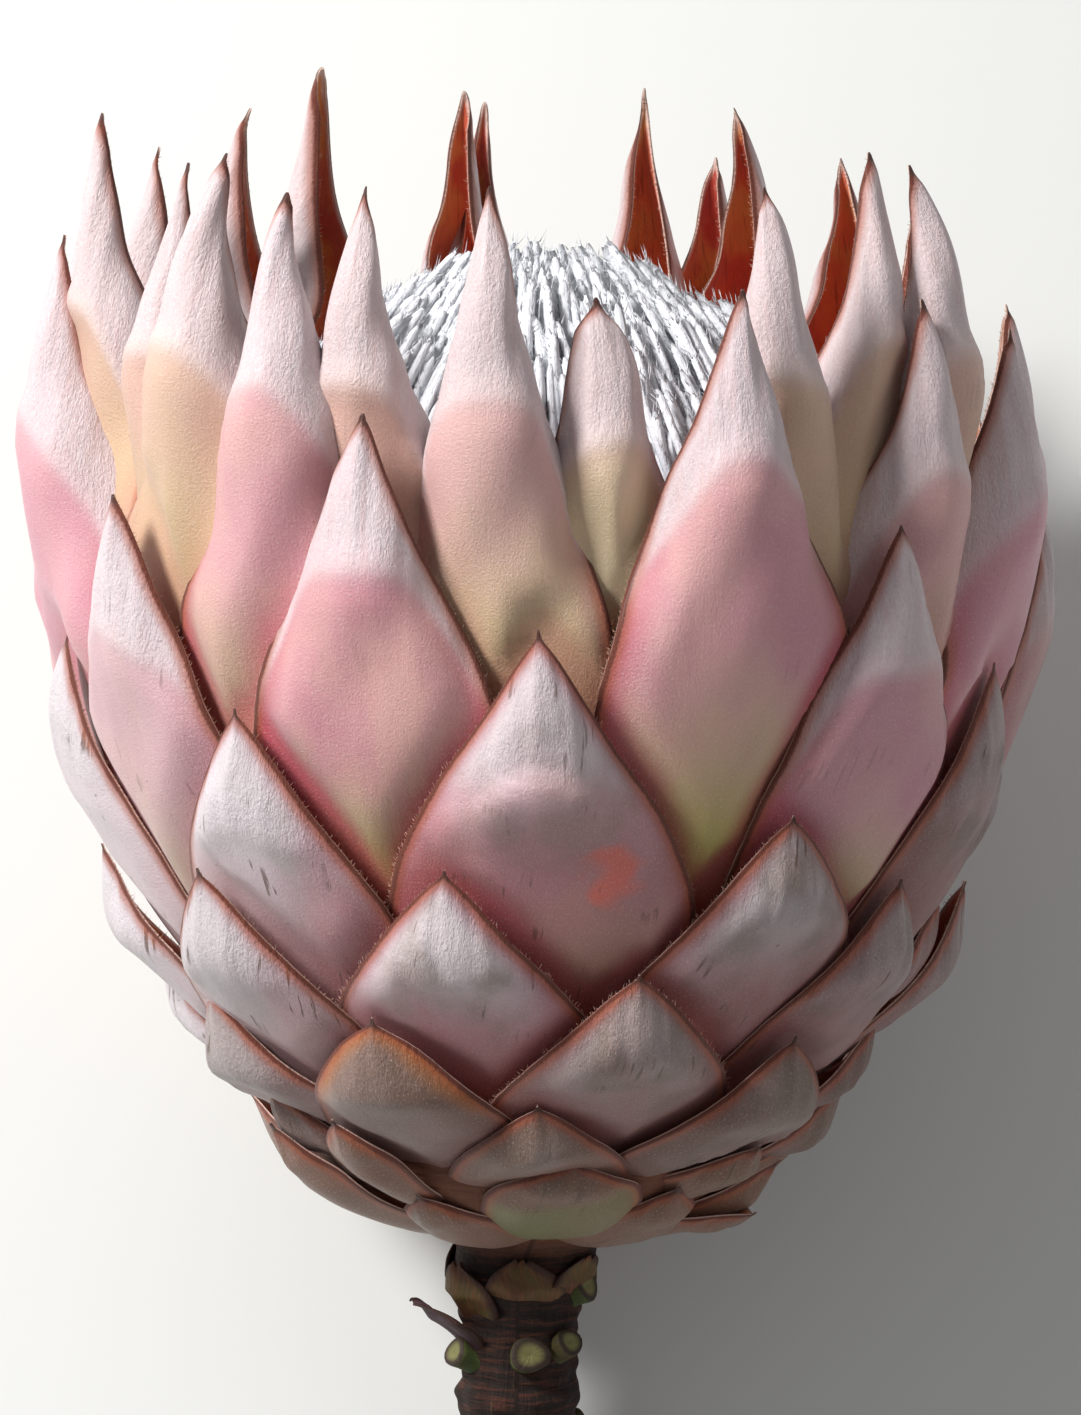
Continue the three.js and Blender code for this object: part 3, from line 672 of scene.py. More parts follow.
def blade_surface(blade, blades, shells, bracts, rows, columns, sunk=0.0):
    """Outer and inner face of a blade as grids of points in mm, from its tip down, and its facts.

    Each row is an arc of a circle across the blade. How far it reaches out to each side comes from
    half_width. Its half angle, the roll, is small on the body and goes past a right angle on a long beak,
    which so becomes a tube that is open inwards; its radius is the reach over the sine of the roll, or the
    reach itself past a right angle. A tall blade's two sides differ a little. A point's lift, which moves it
    out of the shell, is the middle's less the radius times one minus the cosine of the point's own angle.
    The inner face is the same arc with the radius less the thickness, which thins with a smooth step over
    the last 2.2 mm to the margin.

    Where nothing lies over the blade it swells into a cushion that falls off towards its margins and towards
    what covers it, and the margins of low blades are pressed in. Sines of the way down and across add the
    flutter of the margins, the waves and the folds, a bell curve the soft ledge under the beak, and smooth
    steps the pouch. Powers of a ramp towards the tip bend it in or out and to the side. A blade with a sunk
    root dives inwards over its last 8 mm.
    """
    seeds = 2 * np.pi * chance(blade.rank * 7.31 + np.arange(12) * 3.17)
    tip_seed, skew_seed, hook_seed, twist_seed = (float(chance(blade.rank + k)) for k in (90, 13, 31, 57))
    tall = float(smooth((blade.rank + 4) / 12))
    length = blade.tip - (blade.root - sunk)

    # Ways down from the tip, with the sharp end above it, and to the side
    sharp = 0.6 + 0.6 * tip_seed
    below = (length + sharp) * np.linspace(0, 1, rows)[:, None] ** 1.3 - sharp
    t = np.linspace(-1, 1, columns)[None, :]
    side = 0.45 * t + 0.55 * np.sin(np.pi / 2 * t)
    x = below / blade.reach
    arc = blade.tip - below

    # The outline
    pointed = np.clip(1 + below / sharp, 0, 1) ** 0.6 * 0.7 + 0.3
    blunt = TIP_BLUNT.get(blade.rank, 0.0) * smooth(below / 4) * (1 - smooth((below - 6) / 16))
    half = (half_width(blade, below, length) + blunt) * np.where(below < 0, pointed, 1)

    # The arc across, from the solid's: how far it reaches out, the middle's lift, its radius and its roll
    fade = smooth(1.12 - x)
    pinch = smooth((0.75 - x) / 0.5) * (0.35 + 0.65 * blade.beak)
    bow = np.clip(fade * (bracts.body_roll + CORE_BEAK_ROLL * pinch), 0.01, half / TIGHTEST_ROLL)
    reached_out = half * np.sin(bow) / bow
    middle_lift = half / bow * (1 - np.cos(bow))
    long_beak = min(blade.beak, 1.0)
    beaked = smooth((0.64 + 0.2 * tall * long_beak - x) / 0.42) * (0.05 + 0.95 * long_beak ** 1.5)
    gathered = 0.5 * (1 - long_beak) * np.exp(-np.maximum(below, 0) / 6)
    curl = fade * bracts.body_roll + bracts.beak_roll * beaked + gathered
    curl = np.minimum(curl, np.pi / 2 + 1.2 * np.maximum(reached_out - TIGHTEST_BEND, 0))
    bend = np.maximum(reached_out / np.sin(np.clip(curl, 0.01, np.pi / 2)), TIGHTEST_BEND)
    tightest = np.arcsin(np.minimum(reached_out / bend, 1))
    roll = np.where(bend > TIGHTEST_BEND, np.maximum(curl, 0.01), tightest)

    # Where the points stand: angle, distance across from the middle and in from the margin, and what is over
    skew = 0.7 * (skew_seed - 0.5) * pinch * tall
    angle = side * roll * (1 + skew * side)
    across = angle * bend
    edge = roll * bend * (1 + skew * np.sign(side)) * (1 - np.abs(side))
    azimuth = blade.azimuth + np.degrees(bend * np.sin(angle) / shells.radius_at(arc))
    clear = clear_of(blade, blades, shells, arc, azimuth)

    # The silk of the beak, which ends in an arch
    arch = (across / np.maximum(half_width(blade, blade.reach, length), 1)) ** 2
    beak_end = blade.reach * (0.4 - 0.04 * tall) * (1 + (0.5 + 0.9 * tall) * arch)
    beak_end = beak_end + 0.8 * np.sin(across * 0.45 + seeds[2])
    silk = smooth((beak_end - below) / (5 + 2 * tall) + 0.5)

    # Relief of both faces
    free = smooth((1.0 - x) / 0.4)
    shoulder = smooth((below - beak_end + 1) / 6)
    ends = (0.3 + 0.7 * shoulder) * smooth(below / 12) if tall else smooth((below - 2) / 9)
    cushion = (1.5 + 1.1 * tall) * smooth(clear / 8) * smooth((edge + 1) / (7.5 + tall)) * ends
    cushion = cushion * (1 - 0.25 * smooth((below - 0.5 * length) / (0.4 * length)))
    sway = (0.45 + 0.55 * tall) * free * side ** 2 * (
        0.28 * np.sin(below / 7.5 + 1.5 * side + seeds[3])
        + 0.1 * np.sin(below / 3.3 - 2.2 * side + seeds[4]))
    swell = (0.12 + 0.26 * tall) * free * (
        np.sin(below / 9 + seeds[5]) * np.sin(across / 4 + seeds[6])
        + 0.6 * np.sin(below / 3.7 + 0.5 * across + seeds[9]))
    ledge = (0.35 + 0.65 * tall) * np.exp(-((below - beak_end) / (2.0 + 0.4 * tall)) ** 2)
    ledge = ledge * (1 - side ** 4) * smooth(below / 6)
    pouch = POUCH.get(blade.rank, 0.0) * smooth((below - 16 - 0.07 * across ** 2) / 2.2) * (
        1 - smooth((below - 20) / 15)) * (1 - smooth((np.abs(across) - 5) / 6))
    press = 0.55 * (1 - tall) * (1 - smooth(edge / 6))
    sheet = cushion + sway * (1 - pinch) + swell + ledge + pouch - press

    # Relief of the outer face, the thickness, and the nicks of the margins
    folds = smooth(edge / 1.5) * free * (0.25 + 0.75 * silk) * (
        0.12 * np.sin(across * 1.5 + 0.9 * np.sin(below / 6 + seeds[10]) + seeds[7])
        + 0.09 * np.sin(across * 2.6 - 0.8 * np.sin(below / 4.3 + seeds[11]) + seeds[8]))
    thick = bracts.margin / MM + (bracts.blade - bracts.margin) / MM * smooth(edge / 2.2)
    thick = np.minimum(thick, 0.6 * bend)
    nicks = 0.003 * np.sin(below * 1.7 + seeds[0]) + 0.007 * np.sin(below * 0.43 + seeds[1])
    nicks = 1 + nicks * np.sign(side)

    # How deep the middle lies and how far it leans
    tipmost = np.clip(1 - (below + sharp) / 12, 0, 1) ** 2
    hook = (1.7 * hook_seed - 0.45) * tipmost
    hugging = 0.5 * (1 - tall) + 0.9 * float(smooth((-18 - blade.rank) / 6))
    hook = hook + hugging * np.clip(1 - below / 16, 0, 1) ** 1.5
    ramp = np.clip(1 - x, 0, 1)
    lean = blade.lean * ramp ** 1.5 + 1.8 * (twist_seed - 0.5) * tipmost
    spread = smooth((arc - SPREAD_ARCS[0]) / (SPREAD_ARCS[1] - SPREAD_ARCS[0]))
    inside = np.maximum(0, blade.depth - SPREAD_DEPTH) * TOP_SPREAD * spread
    dive = 0.7 * sunk * smooth((below - length + 8) / 8)
    depth = blade.depth + inside - shells.tip_depth(arc) - blade.flare * ramp ** 2 + hook + dive
    middle = shells.point(arc, depth)[0]

    def face(radius, relief):
        """The points with a radius of the arcs across and a relief on it."""
        lift = middle_lift - bend + (radius + relief) * np.cos(angle)
        radius_out, height = shells.point(np.broadcast_to(arc, lift.shape), depth - lift)
        beside = (radius + relief * pinch) * np.sin(angle) * nicks + lean
        return placed(np.radians(blade.azimuth) + beside / middle, radius_out, height)

    facts = {
        "blade": triples(across, below, blade.rank + RANK_SHIFT),
        "look": triples(silk, tall, x),
        "edge": edge,
        "clear": clear,
    }
    return face(bend, sheet + folds), face(bend - thick, sheet), facts


def fringe_hairs(blade, blades, shells, bracts):
    """Short hairs along both margins of a blade.

    Each stands on the margin at an even share of the way down, and points away from the blade's middle,
    towards the tip and a little at random.
    """
    outer, inner, facts = blade_surface(blade, blades, shells, bracts, *FRINGE_GRID)
    below = facts["blade"][:, 0, 1]
    visible = min(1.25 * blade.reach, below[-1])
    count = int(FRINGE_PER_MM * visible)
    n = np.arange(count)
    last = FRINGE_GRID[1] - 1
    parts = []
    for column, beside in ((0, 1), (last, last - 1)):
        seed = blade.rank * 17.7 + column * 5.3 + n * 0.731
        at = (n + chance(seed)) / count * visible
        margin = 0.5 * (outer[:, column] + inner[:, column])
        base, middle, further = (
            np.stack([np.interp(way, below, line[:, k]) for k in range(3)], -1)
            for way, line in ((at, margin), (at, outer[:, beside]), (at - 1.5, margin)))
        away = unit(base - middle)
        tipward = unit(further - base)
        stray = np.stack([chance(seed + 100 * k) - 0.5 for k in (1, 2, 3)], -1)
        along = unit(away + (0.5 + 0.6 * chance(seed + 11))[:, None] * tipward + 0.7 * stray)
        length = 0.35 + 0.75 * chance(seed + 21) ** 2
        parts.append((base - 0.15 * away, along, length, 6.28 * chance(seed + 5)))
    return [np.concatenate(arrays) for arrays in zip(*parts)]


# ---------------------------------------------------------------- materials


def arithmetic(operation, reflected=False):
    """An operator of Value, or its reflected form, as a method that adds a Math node."""
    def method(self, other):
        first, second = (other, self) if reflected else (self, other)
        return self.paint.node("ShaderNodeMath", {"operation": operation}, {0: first, 1: second})
    return method


class Value:
    """A socket in a material. Arithmetic on it adds the nodes that it needs."""

    def __init__(self, paint, socket):
        self.paint = paint
        self.socket = socket

    __add__, __radd__ = arithmetic("ADD"), arithmetic("ADD", True)
    __sub__, __rsub__ = arithmetic("SUBTRACT"), arithmetic("SUBTRACT", True)
    __mul__, __rmul__ = arithmetic("MULTIPLY"), arithmetic("MULTIPLY", True)


class Paint:
    """A material under construction."""

    def __init__(self, name):
        old = bpy.data.materials.get(name)
        if old is not None:
            bpy.data.materials.remove(old)
        self.material = bpy.data.materials.new(name)
        self.material.use_nodes = True
        self.tree = self.material.node_tree
        self.tree.nodes.clear()

    def node(self, kind, settings=None, inputs=None, output=0):
        """Adds a node of a kind with its settings, set first, and its sockets' values, colours or links."""
        node = self.tree.nodes.new(kind)
        for key, value in (settings or {}).items():
            setattr(node, key, value)
        for key, value in (inputs or {}).items():
            if isinstance(value, Value):
                self.tree.links.new(value.socket, node.inputs[key])
            else:
                node.inputs[key].default_value = (*value, 1.0) if isinstance(value, tuple) else value
        return Value(self, node.outputs[output]) if node.outputs else None

    def fact(self, name, kind="Fac"):
        """An attribute of the piece, as a number or, with kind Vector, as three."""
        return self.node("ShaderNodeAttribute", {"attribute_name": name}, output=kind)

    def on_piece(self):
        """The place on the piece, in metres."""
        return self.node("ShaderNodeTexCoord", output="Object")

    def parts(self, vector):
        """The three numbers of a vector."""
        sockets = self.node("ShaderNodeSeparateXYZ", inputs={0: vector}).socket.node.outputs
        return tuple(Value(self, sockets[k]) for k in range(3))

    def mix(self, share, first, second):
        """One colour into another, each from a node, a setting or six hexadecimal digits."""
        tints = []
        for tint in (first, second):
            tint = colour(tint) if isinstance(tint, str) else tint
            tints.append(tint if isinstance(tint, Value) else tuple(tint))
        sockets = {0: share, 6: tints[0], 7: tints[1]}
        return self.node("ShaderNodeMix", {"data_type": "RGBA"}, sockets, output=2)

    def coats(self, base, *coats):
        """A colour under others: each coat is its share and its colour, and goes over the ones before it."""
        for share, tint in coats:
            base = self.mix(share, base, tint)
        return base

    def step(self, value, low, high):
        """A smooth step of a number from 0 at low to 1 at high."""
        return self.node("ShaderNodeMapRange", {"interpolation_type": "SMOOTHSTEP"},
                         {"Value": value, "From Min": low, "From Max": high})

    def noise(self, vector, scale, detail=2.0, roughness=0.5):
        """Cloudy noise from 0 to 1."""
        return self.node("ShaderNodeTexNoise", {"noise_dimensions": "3D"},
                         {"Vector": vector, "Scale": scale, "Detail": detail, "Roughness": roughness})

    def veins(self, x, y, z, detail, roughness=0.5):
        """Noise over three numbers, so with its own scale along each."""
        place = self.node("ShaderNodeCombineXYZ", inputs={0: x, 1: y, 2: z})
        return self.noise(place, 1.0, detail, roughness)

    def finished(self, base, roughness, height, strength, distance, **constants):
        """The shader with its colour, roughness and relief, and sockets that are the same all over."""
        bump = self.node("ShaderNodeBump", inputs={
            "Height": height, "Strength": strength, "Distance": distance})
        shader = self.node("ShaderNodeBsdfPrincipled", inputs={
            "Base Color": base, "Roughness": roughness, "Normal": bump, **constants})
        self.node("ShaderNodeOutputMaterial", inputs={"Surface": shader})
        return self.material


def bract_skin(bracts, name="bract skin"):
    """Silky beak, pink and cream body, rust-brown margins, salmon inner face with painted glow, by the
    blade's own measures.

    Tall blades have a silver beak over a body that goes from pink to cream. Low ones have a pale top of
    silvery silk with a painted sheen on it over a darker foot, and are painted paler as a sheen on the
    light's side. Towards the light's far side and on the scales at the foot of the head they turn brown,
    partly their own colour and partly painted shade, and the lowest of all have rust.
    """
    paint = Paint(name)
    step, mix, coats = paint.step, paint.mix, paint.coats
    place = paint.fact("blade", "Vector")
    across, below, seed = paint.parts(place)
    silk, tall, reached = paint.parts(paint.fact("look", "Vector"))
    edge, inner, clear = (paint.fact(fact) for fact in ("edge", "inner", "clear"))

    def veins(x, y, shift, detail, roughness):
        """Noise with x and y waves in each mm across and down, from another place for each shift."""
        return paint.veins(across * x, below * y, shift, detail, roughness)

    streaks = veins(4.2, 1.5, seed, 4.0, 0.65)
    grain = veins(1.0, 0.13, seed + 7.0, 3.0, 0.55)
    clouds = veins(0.09, 0.05, seed * 1.7, 3.0, 0.5)
    fine = veins(7.0, 2.2, seed, 2.0, 0.6)
    patches = veins(0.13, 0.1, seed * 2.3 + 40.0, 3.0, 0.5)
    pores = veins(3.6, 2.6, seed + 3.0, 4.0, 0.75)
    crepe = veins(1.7, 0.5, seed + 50.0, 4.0, 0.7)
    rubbed = veins(0.14, 0.11, seed + 33.0, 2.0, 0.5)
    tone = paint.veins(seed * 3.71, 5.0, 2.0, 0.0)
    slant = across + (tone - 0.35) * 0.8 * below
    scratch = paint.veins(slant * 1.5, below * 0.11, seed + 21.0, 3.0, 0.55)

    rank = seed - RANK_SHIFT
    late = step(rank, 12.0, 23.0)
    # The scales at the foot of the head: their browner, darker colour is partly their own and partly painted
    # shade
    foot = step(rank, -15.0, -26.0)
    lowest, rusted, pouched, blunted = (
        step(rank, only + 0.9, only + 0.1) * step(rank, only - 0.9, only - 0.1)
        for only in (LOWEST, RUSTED, POUCHED, BLUNTED))

    silver = coats(
        bracts.silk,
        (step(streaks, 0.35, 0.75) * 0.55, "c6abad"),
        (step(grain, 0.4, 0.75) * 0.4, "dab2b0"),
        (late * 0.25, "dcc3bc"))
    blush = coats(
        bracts.blush,
        (step(clouds, 0.35, 0.7), "dba69f"),
        (step(tone, 0.4, 0.65) * 0.6, "cf90a2"),
        (late * 0.6, "dcb6ab"))
    upper = coats(
        blush,
        (step(reached + clouds * 0.35 + late * 0.35, 0.95, 1.4),
         mix(step(reached, 0.95, 1.35), bracts.cream, "b8a655")),
        (step(rank, 20.0, 25.0) * step(tone, 0.35, 0.5) * 0.5, "d0b384"),
        (step(streaks, 0.4, 0.8) * 0.1, "f0dcd6"),
        (step(edge, 5.5, 0.8) * (0.7 - late * 0.45), "b8525f"),
        (step(clear + clouds * 3.0, 7.0, 1.5) * step(reached, 0.6, 0.9) * (0.8 - late * 0.5), "bd3f52"),
        (blunted * 0.85, mix(step(below, 12.0, 30.0), "d2ab9e", "f0dab2")),
        (silk, silver),
        (step(silk, 0.1, 0.6) * step(silk, 1.0, 0.6) * 0.2, "efe4e3"))

    pale = coats(
        "d9cfd1",
        (step(patches, 0.45, 0.68) * 0.65, "98887a"),
        (foot * 0.65, "91806f"))
    # Brown of the far side and the foot scales: partly their own colour, partly painted shade
    worn_and_shaded = coats(
        "7f6b62",
        (step(patches, 0.35, 0.62), "5c4838"),
        (step(clouds, 0.4, 0.65) * 0.6, "7b4f45"))
    # Pale top in the middle of a low blade: partly the silk's own silver, partly a painted sheen
    silvery_crown_and_sheen = step(reached + clouds * 0.3, 0.8, 0.4) * step(edge + clouds * 2.0, 1.5, 5.0)
    # The piece's X: the key light's side is at negative X, its far side at positive X
    sideways = paint.parts(paint.on_piece())[0] + clouds * 0.02
    # Brown on the foot scales and towards the light's far side: partly their own colour, partly painted shade
    weather_and_shade = foot * 0.7 + (1 - foot) * step(sideways, -0.005, 0.06) * 0.6
    rusty = step(rank, -24.0, -42.0) * step(clouds + reached * 0.25, 0.3, 0.6)
    burnt = rusted * step(reached + patches * 0.4, 0.95, 0.6)
    lower = coats(
        "c0929a",
        (step(patches, 0.4, 0.66) * 0.7, bracts.scale),
        (step(clouds, 0.45, 0.7) * 0.6, "b26a76"),
        (step(reached + clouds * 0.3, 0.65, 1.0) * 0.65, "b5686a"),
        # Darker brown on the foot scales: partly their own colour, partly painted shade
        (foot * 0.6, "80584a"),
        (silvery_crown_and_sheen * 0.85, pale),
        (step(streaks, 0.45, 0.8) * 0.2, "e2d8d8"),
        (step(edge + clouds * 3.0, 5.0, 1.5) * 0.55, "a8606a"),
        (step(clear + clouds * 6.0, 10.0, 3.0) * 0.8, "ab4e50"),
        # Painted sheen: paler silver on the light's side of the head
        (step(sideways, -0.002, -0.05) * 0.75, "d8d0d4"),
        (weather_and_shade, worn_and_shaded),
        (rusty * 0.75, mix(patches, "8a4e30", "75552f")),
        (lowest * step(below + across * 0.3, 5.0, 9.0), mix(step(across, -5.0, 6.0), "716d2e", "7d6a3c")),
        (burnt * 0.6, "7d5a48"),
        (burnt * step(edge + clouds * 5.0, 7.0, 3.5) * 0.8, "b06a2a"))

    # Painted light: an orange glow in a spot on the pouched bract
    beside, beneath = across - 9.5, below - 32.0
    ragged = paint.noise(place, 0.22, 1.0, 0.4) * 7.0
    painted_glow = pouched * step(beside * beside * 0.12 + beneath * beneath * 0.06 + ragged, 6.0, 3.2)
    rag = edge + (fine - 0.5) * 0.5 + (streaks - 0.5) * 0.4
    skin = coats(
        lower,
        (tall, upper),
        (painted_glow * 0.7, "ec6850"),
        (step(pores, 0.54, 0.68) * 0.3, "f1e8e9"),
        (step(pores, 0.44, 0.3) * 0.22, "8d5a5a"),
        (step(scratch, 0.56, 0.63) * step(rubbed, 0.56, 0.63) * (0.8 - tall * 0.7), "5c402b"),
        (step(paint.noise(place, 0.9, 2.0, 0.7), 0.7, 0.76) * (0.65 - tall * 0.5), "614230"),
        (step(rag, 2.4, 0.7) * 0.7, mix(grain, bracts.margin_colour, "b25a2c")),
        (step(rag, 0.95, 0.45), mix(streaks, "4c1c10", "7c3519")),
        (step(below + (fine - 0.5) * 1.5 + tone, 3.2, -0.4) * 0.75,
         mix(step(below, 0.0, 2.0), "3c2018", "9a4a36")))
    # Salmon inner face, its colours brightened as a painted glow of light shining through the thin bract
    salmon = coats(
        bracts.inner,
        (step(clouds, 0.35, 0.7), "cc4a38"),
        (step(patches, 0.45, 0.65) * 0.7, "eaa055"),
        (step(reached, 0.5, 1.1) * 0.7, "c08058"),
        (step(scratch, 0.55, 0.7) * 0.5, "6e2a22"),
        (step(edge, 1.3, 0.3) * 0.8, "f2ddd0"))

    roughness = 0.34 + silk * 0.12 + streaks * 0.14 + step(edge, 1.4, 0.4) * 0.2
    height = streaks * (0.1 + silk * 0.5) + crepe * (0.15 + silk * 0.9) + grain * 0.12 + pores * 0.45
    return paint.finished(mix(inner, skin, salmon), roughness, height, 0.6, 0.0009, **{
        "Sheen Weight": 0.16, "Sheen Roughness": 0.4, "Specular IOR Level": 0.5, "Coat Weight": 0.12,
        "Coat Roughness": 0.32})


def fringe_felt():
    """Short rust-brown hairs that pale towards their ends."""
    paint = Paint("fringe felt")
    clouds = paint.noise(paint.on_piece(), 90.0)
    base = paint.mix(
        paint.step(paint.fact("share"), 0.2, 1.0),
        paint.mix(clouds, "7a3c20", "a8592c"),
        paint.mix(clouds, "c98f6a", "e8d8cc"))
    return paint.finished(base, 0.6 + clouds * 0.2, clouds, 0.2, 0.0002, **{"Sheen Weight": 0.3})


def floret_silk(florets):
    """White silk, with painted blue-grey shade deep between the florets, and fine lengthwise streaks."""
    paint = Paint("floret silk")
    rise, around, seed = paint.parts(paint.fact("floret", "Vector"))
    streaks = paint.veins(around * 2.4, rise * 0.35, seed, 3.0, 0.6)
    tufts = paint.veins(around * 1.1, rise * 1.4, seed + 9.0, 3.0, 0.6)
    base = paint.coats(
        florets.white,
        (streaks, "e6e8ee"),
        # Painted shade: blue-grey deeper below the florets' tips
        (paint.step(rise, 5.0, 16.0), florets.shade),
        (paint.step(tufts, 0.6, 0.8) * 0.25, "cfc6be"))
    return paint.finished(base, 0.75 + streaks * 0.2, streaks + tufts, 0.7, 0.0005, **{
        "Sheen Weight": 0.45, "Sheen Roughness": 0.35, "Specular IOR Level": 0.25})


def bark(stem):
    """Dark fibrous bark with warm rubbed ridges, brown scale skin above it, and pale wood on the cut end."""
    paint = Paint("bark")
    along, around, cut = paint.parts(paint.fact("stem", "Vector"))
    rings = paint.veins(around * 0.16, along * 1.3, 3.0, 5.0, 0.7)
    fibres = paint.veins(around * 1.6, along * 0.22, 8.0, 4.0, 0.65)
    grain = paint.veins(around * 0.5, along * 0.6, 1.0, 4.0, 0.6)
    dust = paint.noise(paint.on_piece(), 260.0, 4.0, 0.7)
    skin = paint.coats(
        stem.bark,
        (paint.step(rings, 0.45, 0.68), "4f2a1c"),
        (paint.step(fibres, 0.58, 0.78) * 0.45, "6f5740"),
        (paint.step(dust, 0.55, 0.75) * 0.5, "1b120e"),
        (paint.step(along, -4.0, 0.5), paint.mix(rings, "5a3024", "8a5c46")))
    wood = paint.coats(stem.wood, (grain, "8d7448"), (paint.step(dust, 0.5, 0.7) * 0.4, "5e4a2e"))
    height = rings * 1.2 + fibres + dust * 0.4
    return paint.finished(paint.mix(cut, skin, wood), 0.72 + fibres * 0.2, height, 0.8, 0.0008, **{
        "Specular IOR Level": 0.35})


def papery_scale():
    """Thin dry scales and the withered leaf: rust and olive, darker to the margins."""
    paint = Paint("papery scale")
    across, up, seed = paint.parts(paint.fact("blade", "Vector"))
    streaks = paint.veins(across * 1.8, up * 0.2, seed, 4.0, 0.6)
    clouds = paint.veins(across * 0.2, up * 0.25, seed, 3.0)
    withered = paint.step(seed, len(NECK_SCALES) - 1.6, len(NECK_SCALES) - 1.4)
    base = paint.coats(
        "58301c",
        (paint.step(clouds, 0.35, 0.65), "5d4c28"),
        (paint.step(streaks, 0.45, 0.75) * 0.6, "8f5433"),
        (withered * 0.85, paint.mix(clouds, "2a1820", "523246")),
        (paint.step(paint.fact("edge"), 1.4, 0.2), "3a1f15"))
    return paint.finished(base, 0.55 + streaks * 0.25, streaks + clouds, 0.6, 0.0005, **{
        "Specular IOR Level": 0.4})


def stalk_skin():
    """Green-brown leaf stalks with a dark ring round a cream cut."""
    paint = Paint("stalk skin")
    along, around, cut = paint.parts(paint.fact("stem", "Vector"))
    streaks = paint.veins(around * 1.5, along * 0.3, 2.0, 3.0, 0.6)
    clouds = paint.noise(paint.on_piece(), 120.0, 3.0)
    face = paint.mix(paint.step(cut, 0.45, 0.9), "33251a", paint.mix(clouds, "94895a", "55592a"))
    base = paint.coats(
        "34421e",
        (paint.step(clouds, 0.4, 0.6), "40291c"),
        (streaks * 0.4, "66742f"),
        (paint.step(cut, 0.02, 0.1), face))
    return paint.finished(base, 0.6 + streaks * 0.2, streaks + clouds, 0.5, 0.0005, **{
        "Specular IOR Level": 0.4})


def pale_floor(stage):
    """Plain pale floor with the faintest mottling."""
    paint = Paint("pale floor")
    clouds = paint.noise(paint.on_piece(), 6.0, 3.0)
    base = paint.mix(clouds, stage.floor, [0.96 * v for v in stage.floor])
    return paint.finished(base, 0.8 + clouds * 0.1, clouds, 0.05, 0.001)


# ---------------------------------------------------------------- operators


def head_of(context):
    """The bracts' settings, the shells and the blades for the present settings."""
    bracts = context.scene.protea_bracts
    shells = Shells(context.scene.protea_cup)
    return bracts, shells, blades_of_the_head(shells, bracts)


def node_of(rank, kind="bract"):
    """The name of a bract's CAD node, or of another piece with its number."""
    return f"{kind}_{rank - FIRST_BRACT + 1:02d}"


class ProteaBracts(bpy.types.Operator):
    """Build the large bracts, each as its own piece"""

    bl_idname = "protea.bracts"
    bl_label = "Bracts"

    def execute(self, context):
        bracts, shells, blades = head_of(context)
        material = bract_skin(bracts)
        for blade in blades:
            if blade.rank < FIRST_BRACT:
                continue
            tall = blade.rank >= FIRST_TALL
            sheet = blade_surface(blade, blades, shells, bracts, *(TALL_GRID if tall else BRACT_GRID))
            make_sheets(node_of(blade.rank, "bract_skin"), [sheet], [node_of(blade.rank)], material)
        return {"FINISHED"}


class ProteaFringe(bpy.types.Operator):
    """Build the short hairs along the bracts' margins"""

    bl_idname = "protea.fringe"
    bl_label = "Fringe"

    def execute(self, context):
        bracts, shells, blades = head_of(context)
        material = fringe_felt()
        groups = {
            "outer_bracts": range(FIRST_BRACT, FIRST_TALL),
            "tall_bracts": range(FIRST_TALL, LAST_BRACT + 1),
        }
        for slot, ranks in groups.items():
            hairs = [fringe_hairs(blade, blades, shells, bracts) for blade in blades if blade.rank in ranks]
            base, along, length, seed = (np.concatenate(arrays) for arrays in zip(*hairs))
            points, triangles, share = spikes(base, along, length, FRINGE_RADIUS, seed)
            nodes = [node_of(rank) for rank in ranks]
            make_piece(f"fringe_{slot}", points, triangles, nodes, material, {"share": share})
        return {"FINISHED"}


class ProteaFootScales(bpy.types.Operator):
    """Build the small scales that are grown into the foot of the head"""

    bl_idname = "protea.foot_scales"
    bl_label = "Foot scales"

    def execute(self, context):
        bracts, shells, blades = head_of(context)
        scales = [blade for blade in blades if blade.rank < FIRST_BRACT]
        for n, (azimuth, height, width, flare) in enumerate(NECK_BRACTS, 1):
            scales.append(Blade(FIRST_SCALE - n, azimuth, shells.arc_at(height), width, 0.0, NECK_BRACT_REACH,
                                0.0, flare, NECK_BRACT_DEPTH, ROOT_ARC))
        sheets = [blade_surface(blade, blades, shells, bracts, *SCALE_GRID, ROOT_SUNK) for blade in scales]
        make_sheets("foot_scales", sheets, ["stem"], bract_skin(bracts, "foot scale skin"))
        return {"FINISHED"}


